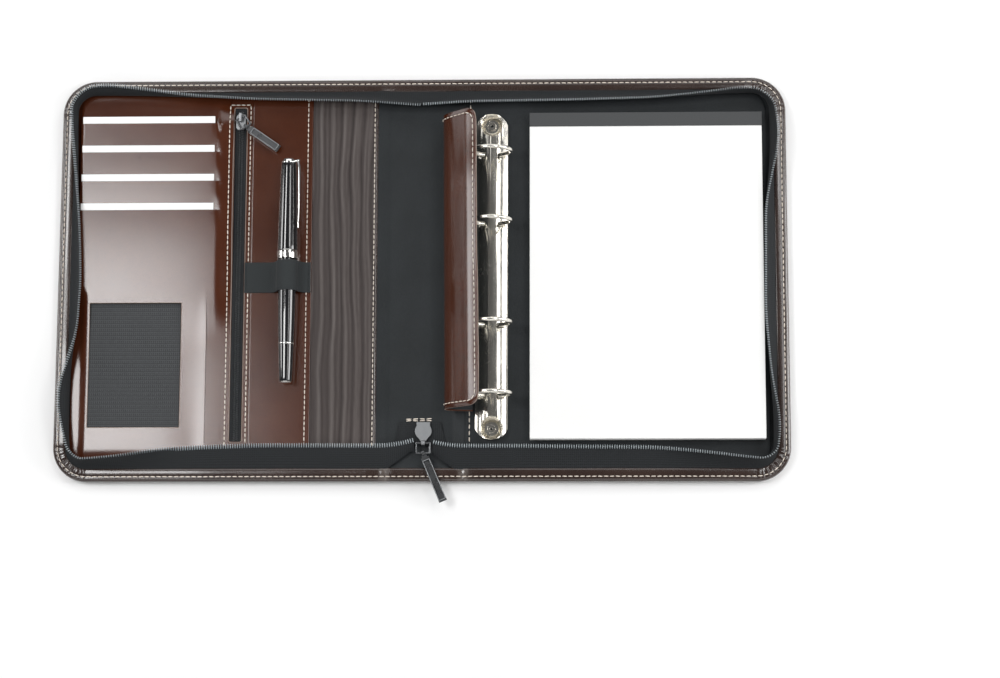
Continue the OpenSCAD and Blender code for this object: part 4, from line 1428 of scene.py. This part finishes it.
def away_from_rings(obj):
    """Turns the flap's faces towards its outer side, away from the rings."""
    normals, centres = faces_of(obj)
    if normals[centres[:, 2] > 20 * MM, 0].sum() > 0:
        obj.data.flip_normals()


for layer, thick, slot_name in ((flap_outer, 0.85, "inner_leather"), (flap_inner, 0.5, "lining")):
    away_from_rings(layer)
    thicken(layer, thick, raw_edge=slot_name == "inner_leather")
    dress(layer, slot_name, raw_edge=slot_name == "inner_leather")


def flap_stitches():
    """Sewing round the flap: up one end, round the corner, along the free edge and down the other end."""
    whole = flap_line(200)[3]
    lift = 0.95 * OUTER
    back = np.linspace(whole - 20, 10.5, 40)
    turn = np.linspace(0, math.pi / 2, 10)
    low_y, high_y, r, m = FLAP_LOW + 3, FLAP_HIGH - 3, 5.5, 3.0
    ends = np.concatenate([back, m + r - r * np.sin(turn), np.full(60, m), m + r - r * np.sin(turn[::-1]),
                           back[::-1]])
    ys = np.concatenate([np.full(40, low_y), low_y + r - r * np.cos(turn),
                         np.linspace(low_y + r, high_y - r, 60),
                         high_y - r + r * np.cos(turn[::-1]), np.full(40, high_y)])
    points, ups = flap_points(lift, ends, ys)
    run = lengths(points)
    count = len(even_points(points, STITCH_PITCH)[0])
    up = sampled((np.arange(count) + 0.5) * run[-1] / count, run, ups * OUTER)
    return stitch_runs("ring_flap_stitches", [points], [up])


flap_thread = dress(flap_stitches(), "thread")
for piece in (flap_outer, flap_inner, flap_thread):
    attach(piece, "ring_flap")
    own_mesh(piece)
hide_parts("ring_flap_leather")
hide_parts("ring_flap_lining")

# ---- the ring mechanism, the pad and the hardware ---------------------------------------------------

# each hardware node's rounded edge, in millimetres
EDGES = {
    "ring_plate": 0.22, "ring_eyelets": 0.2, "ring_blade_left": 0.12, "ring_blade_right": 0.12,
    "ring_halves_left": 0.0, "ring_halves_right": 0.0,
    "zip_slider_body": 0.22, "zip_link_wire": 0.0, "zip_pull_tab": 0.12,
    "pocket_slider_body": 0.2, "pocket_link_wire": 0.0, "pocket_pull_tab": 0.12,
    "card_1": 0.1, "card_2": 0.1, "card_3": 0.1, "card_4": 0.1,
    "pad_backing_board": 0.15, "pad_binding_strip": 0.12,
}
for node_name, width in EDGES.items():
    finish = [s for s, names in SLOT_OF_NODE.items() if node_name in names.split()][0]
    dress(softened(node_name, width), finish)


def tab_rim(name, node, eye, yaw, long, wide, body, link_gap=5.0):
    """A bright raised rim round a pull tab's face, laid along the tab from its eye."""
    along = np.array([math.sin(yaw), -math.cos(yaw), 0.0])
    across = np.array([math.cos(yaw), math.sin(yaw), 0.0])
    outline = rounded_outline(link_gap, long, -wide / 2 + 0.35, wide / 2 - 0.35, 0.7)
    ring = np.array(eye) + outline[:, :1] * along + outline[:, 1:] * across
    ring[:, 2] = extent(node)[1][2]
    return fit(bead(name, ring, 0.32), "slider_metal", body)


tab_rim("zip_tab_rim", "zip_pull_tab", (2.0, -112.7, 8.9), math.radians(23), 31.8, 5.2, "zip_tab")
link_yaw = math.radians(32)
pocket_eye = (POCKET_ZIP_X + 7.0 * math.sin(link_yaw), 104.5 - 7.0 * math.cos(link_yaw), 10.0)
tab_rim("pocket_tab_rim", "pocket_pull_tab", pocket_eye, math.radians(55), 24.8, 4.8, "pocket_tab")
pad_low, pad_high = extent("pad_paper")
TOP_SHEETS = pad_high[2] - 0.45  # where the three loose top sheets begin


def pad_block():
    """The pad's sheets: a block whose stacked edges waver a little."""
    rings = []
    for k, z in enumerate(np.linspace(pad_low[2], TOP_SHEETS, 22)):
        shift = 0.09 * np.array([math.sin(2.1 * k), math.cos(1.3 * k)])
        ring = rounded_outline(pad_low[0] + 0.15 + shift[0], pad_high[0] - 0.15 + shift[0] * 0.5,
                               pad_low[1] + 0.15 + shift[1],
                               pad_high[1] - 0.1, 0.4)
        rings.append(at_height(ring, z))
    block = loft("pad_paper_block", rings)
    block.data.polygons.foreach_set("use_smooth", [False] * len(block.data.polygons))
    return block


fit(pad_block(), "pad_sheets", "note_pad", "pad_paper")
# three top sheets lie a hair out of line
for k, (dx, dy) in enumerate(((0.12, -0.1), (-0.1, 0.16), (0.05, 0.05))):
    x0, x1, y0, y1 = pad_low[0] + 0.2 + dx, pad_high[0] - 0.25 + dx, pad_low[1] + 0.2 + dy, pad_high[1] - 0.2
    z = TOP_SHEETS + 0.15 * k
    leaf = panel(f"pad_top_sheet_{k + 1}", x0, x1, y0, y1, z + 0.01, z + 0.14, 0.5, 0.05)
    fit(leaf, "pad_sheets", "note_pad")

# ---- floor, light and camera --------------------------------------------------------------------------


def pale_material(name, grey, rough):
    """A matte near-white surface whose tone drifts slightly."""
    material, t, shader = new_material(name)
    tone = remap(t, noise(t, object_millimetres(t), 0.004, 2.0), 0.3, 0.7)
    t.links.new(mixed(t, tone, (grey,) * 3, (grey * 0.985,) * 3), shader.inputs["Base Color"])
    shader.inputs["Roughness"].default_value = rough
    return material


corners = [(sx * 3000, sy * 3000, -0.2) for sx, sy in ((-1, -1), (1, -1), (1, 1), (-1, 1))]
floor = make_mesh("floor", corners, [(0, 1, 2, 3)], smooth=False)
floor.data.materials.append(pale_material("pale_floor", 0.93, 0.9))


def soft_box(name, place, target, size, radiance):
    """A rectangular studio light whose power is radiance x pi x area, so it is as bright at any size."""
    data = bpy.data.lights.new(name, "AREA")
    data.shape = "RECTANGLE"
    data.size, data.size_y = size[0] * MM, size[1] * MM
    data.energy = radiance * math.pi * data.size * data.size_y
    lamp = bpy.data.objects.new(name, data)
    bpy.context.scene.collection.objects.link(lamp)
    from_here = np.asarray(place, float) * MM
    lamp.location = from_here
    direction = np.asarray(target, float) * MM - from_here
    lamp.rotation_euler = Vector(direction).to_track_quat("-Z", "Y").to_euler()
    return lamp


# name, place, target, width and height, radiance; the windows' reflections are the glare on the pockets
soft_box("left_window", (-510, 18, 1000), (-510, 18, 0), (420, 215), 11.0)
soft_box("left_window_upper", (-590, 300, 1000), (-590, 300, 0), (240, 240), 12.0)
soft_box("left_low", (-950, 160, 300), (0, 20, 10), (300, 300), 6.0)
soft_box("right_strip", (600, 100, 1000), (600, 100, 0), (160, 800), 5.0)
soft_box("right_high", (400, 330, 1000), (400, 330, 0), (140, 180), 8.0)
soft_box("right_side", (1150, 60, 480), (45, 0, 10), (500, 800), 7.0)
soft_box("front_bank", (0, -1350, 1150), (0, -200, 0), (3000, 1100), 1.28)
soft_box("rear_bank", (0, 1450, 1150), (0, 200, 0), (3000, 1100), 1.6)

world = bpy.data.worlds.new("studio")
world.use_nodes = True
world.node_tree.nodes["Background"].inputs["Color"].default_value = (1, 1, 1, 1)
world.node_tree.nodes["Background"].inputs["Strength"].default_value = 0.09
bpy.context.scene.world = world
bpy.context.scene.view_settings.view_transform = "Standard"

camera_data = bpy.data.cameras.new("camera")
camera_data.sensor_width = 36.0
camera_data.lens = 83.70
camera_data.clip_end = 20
camera = bpy.data.objects.new("camera", camera_data)
camera.location = (0.097373, -0.267469, 1.463207)
camera.rotation_euler = (0.155, 0.032, 0.002)
bpy.context.scene.collection.objects.link(camera)
bpy.context.scene.camera = camera
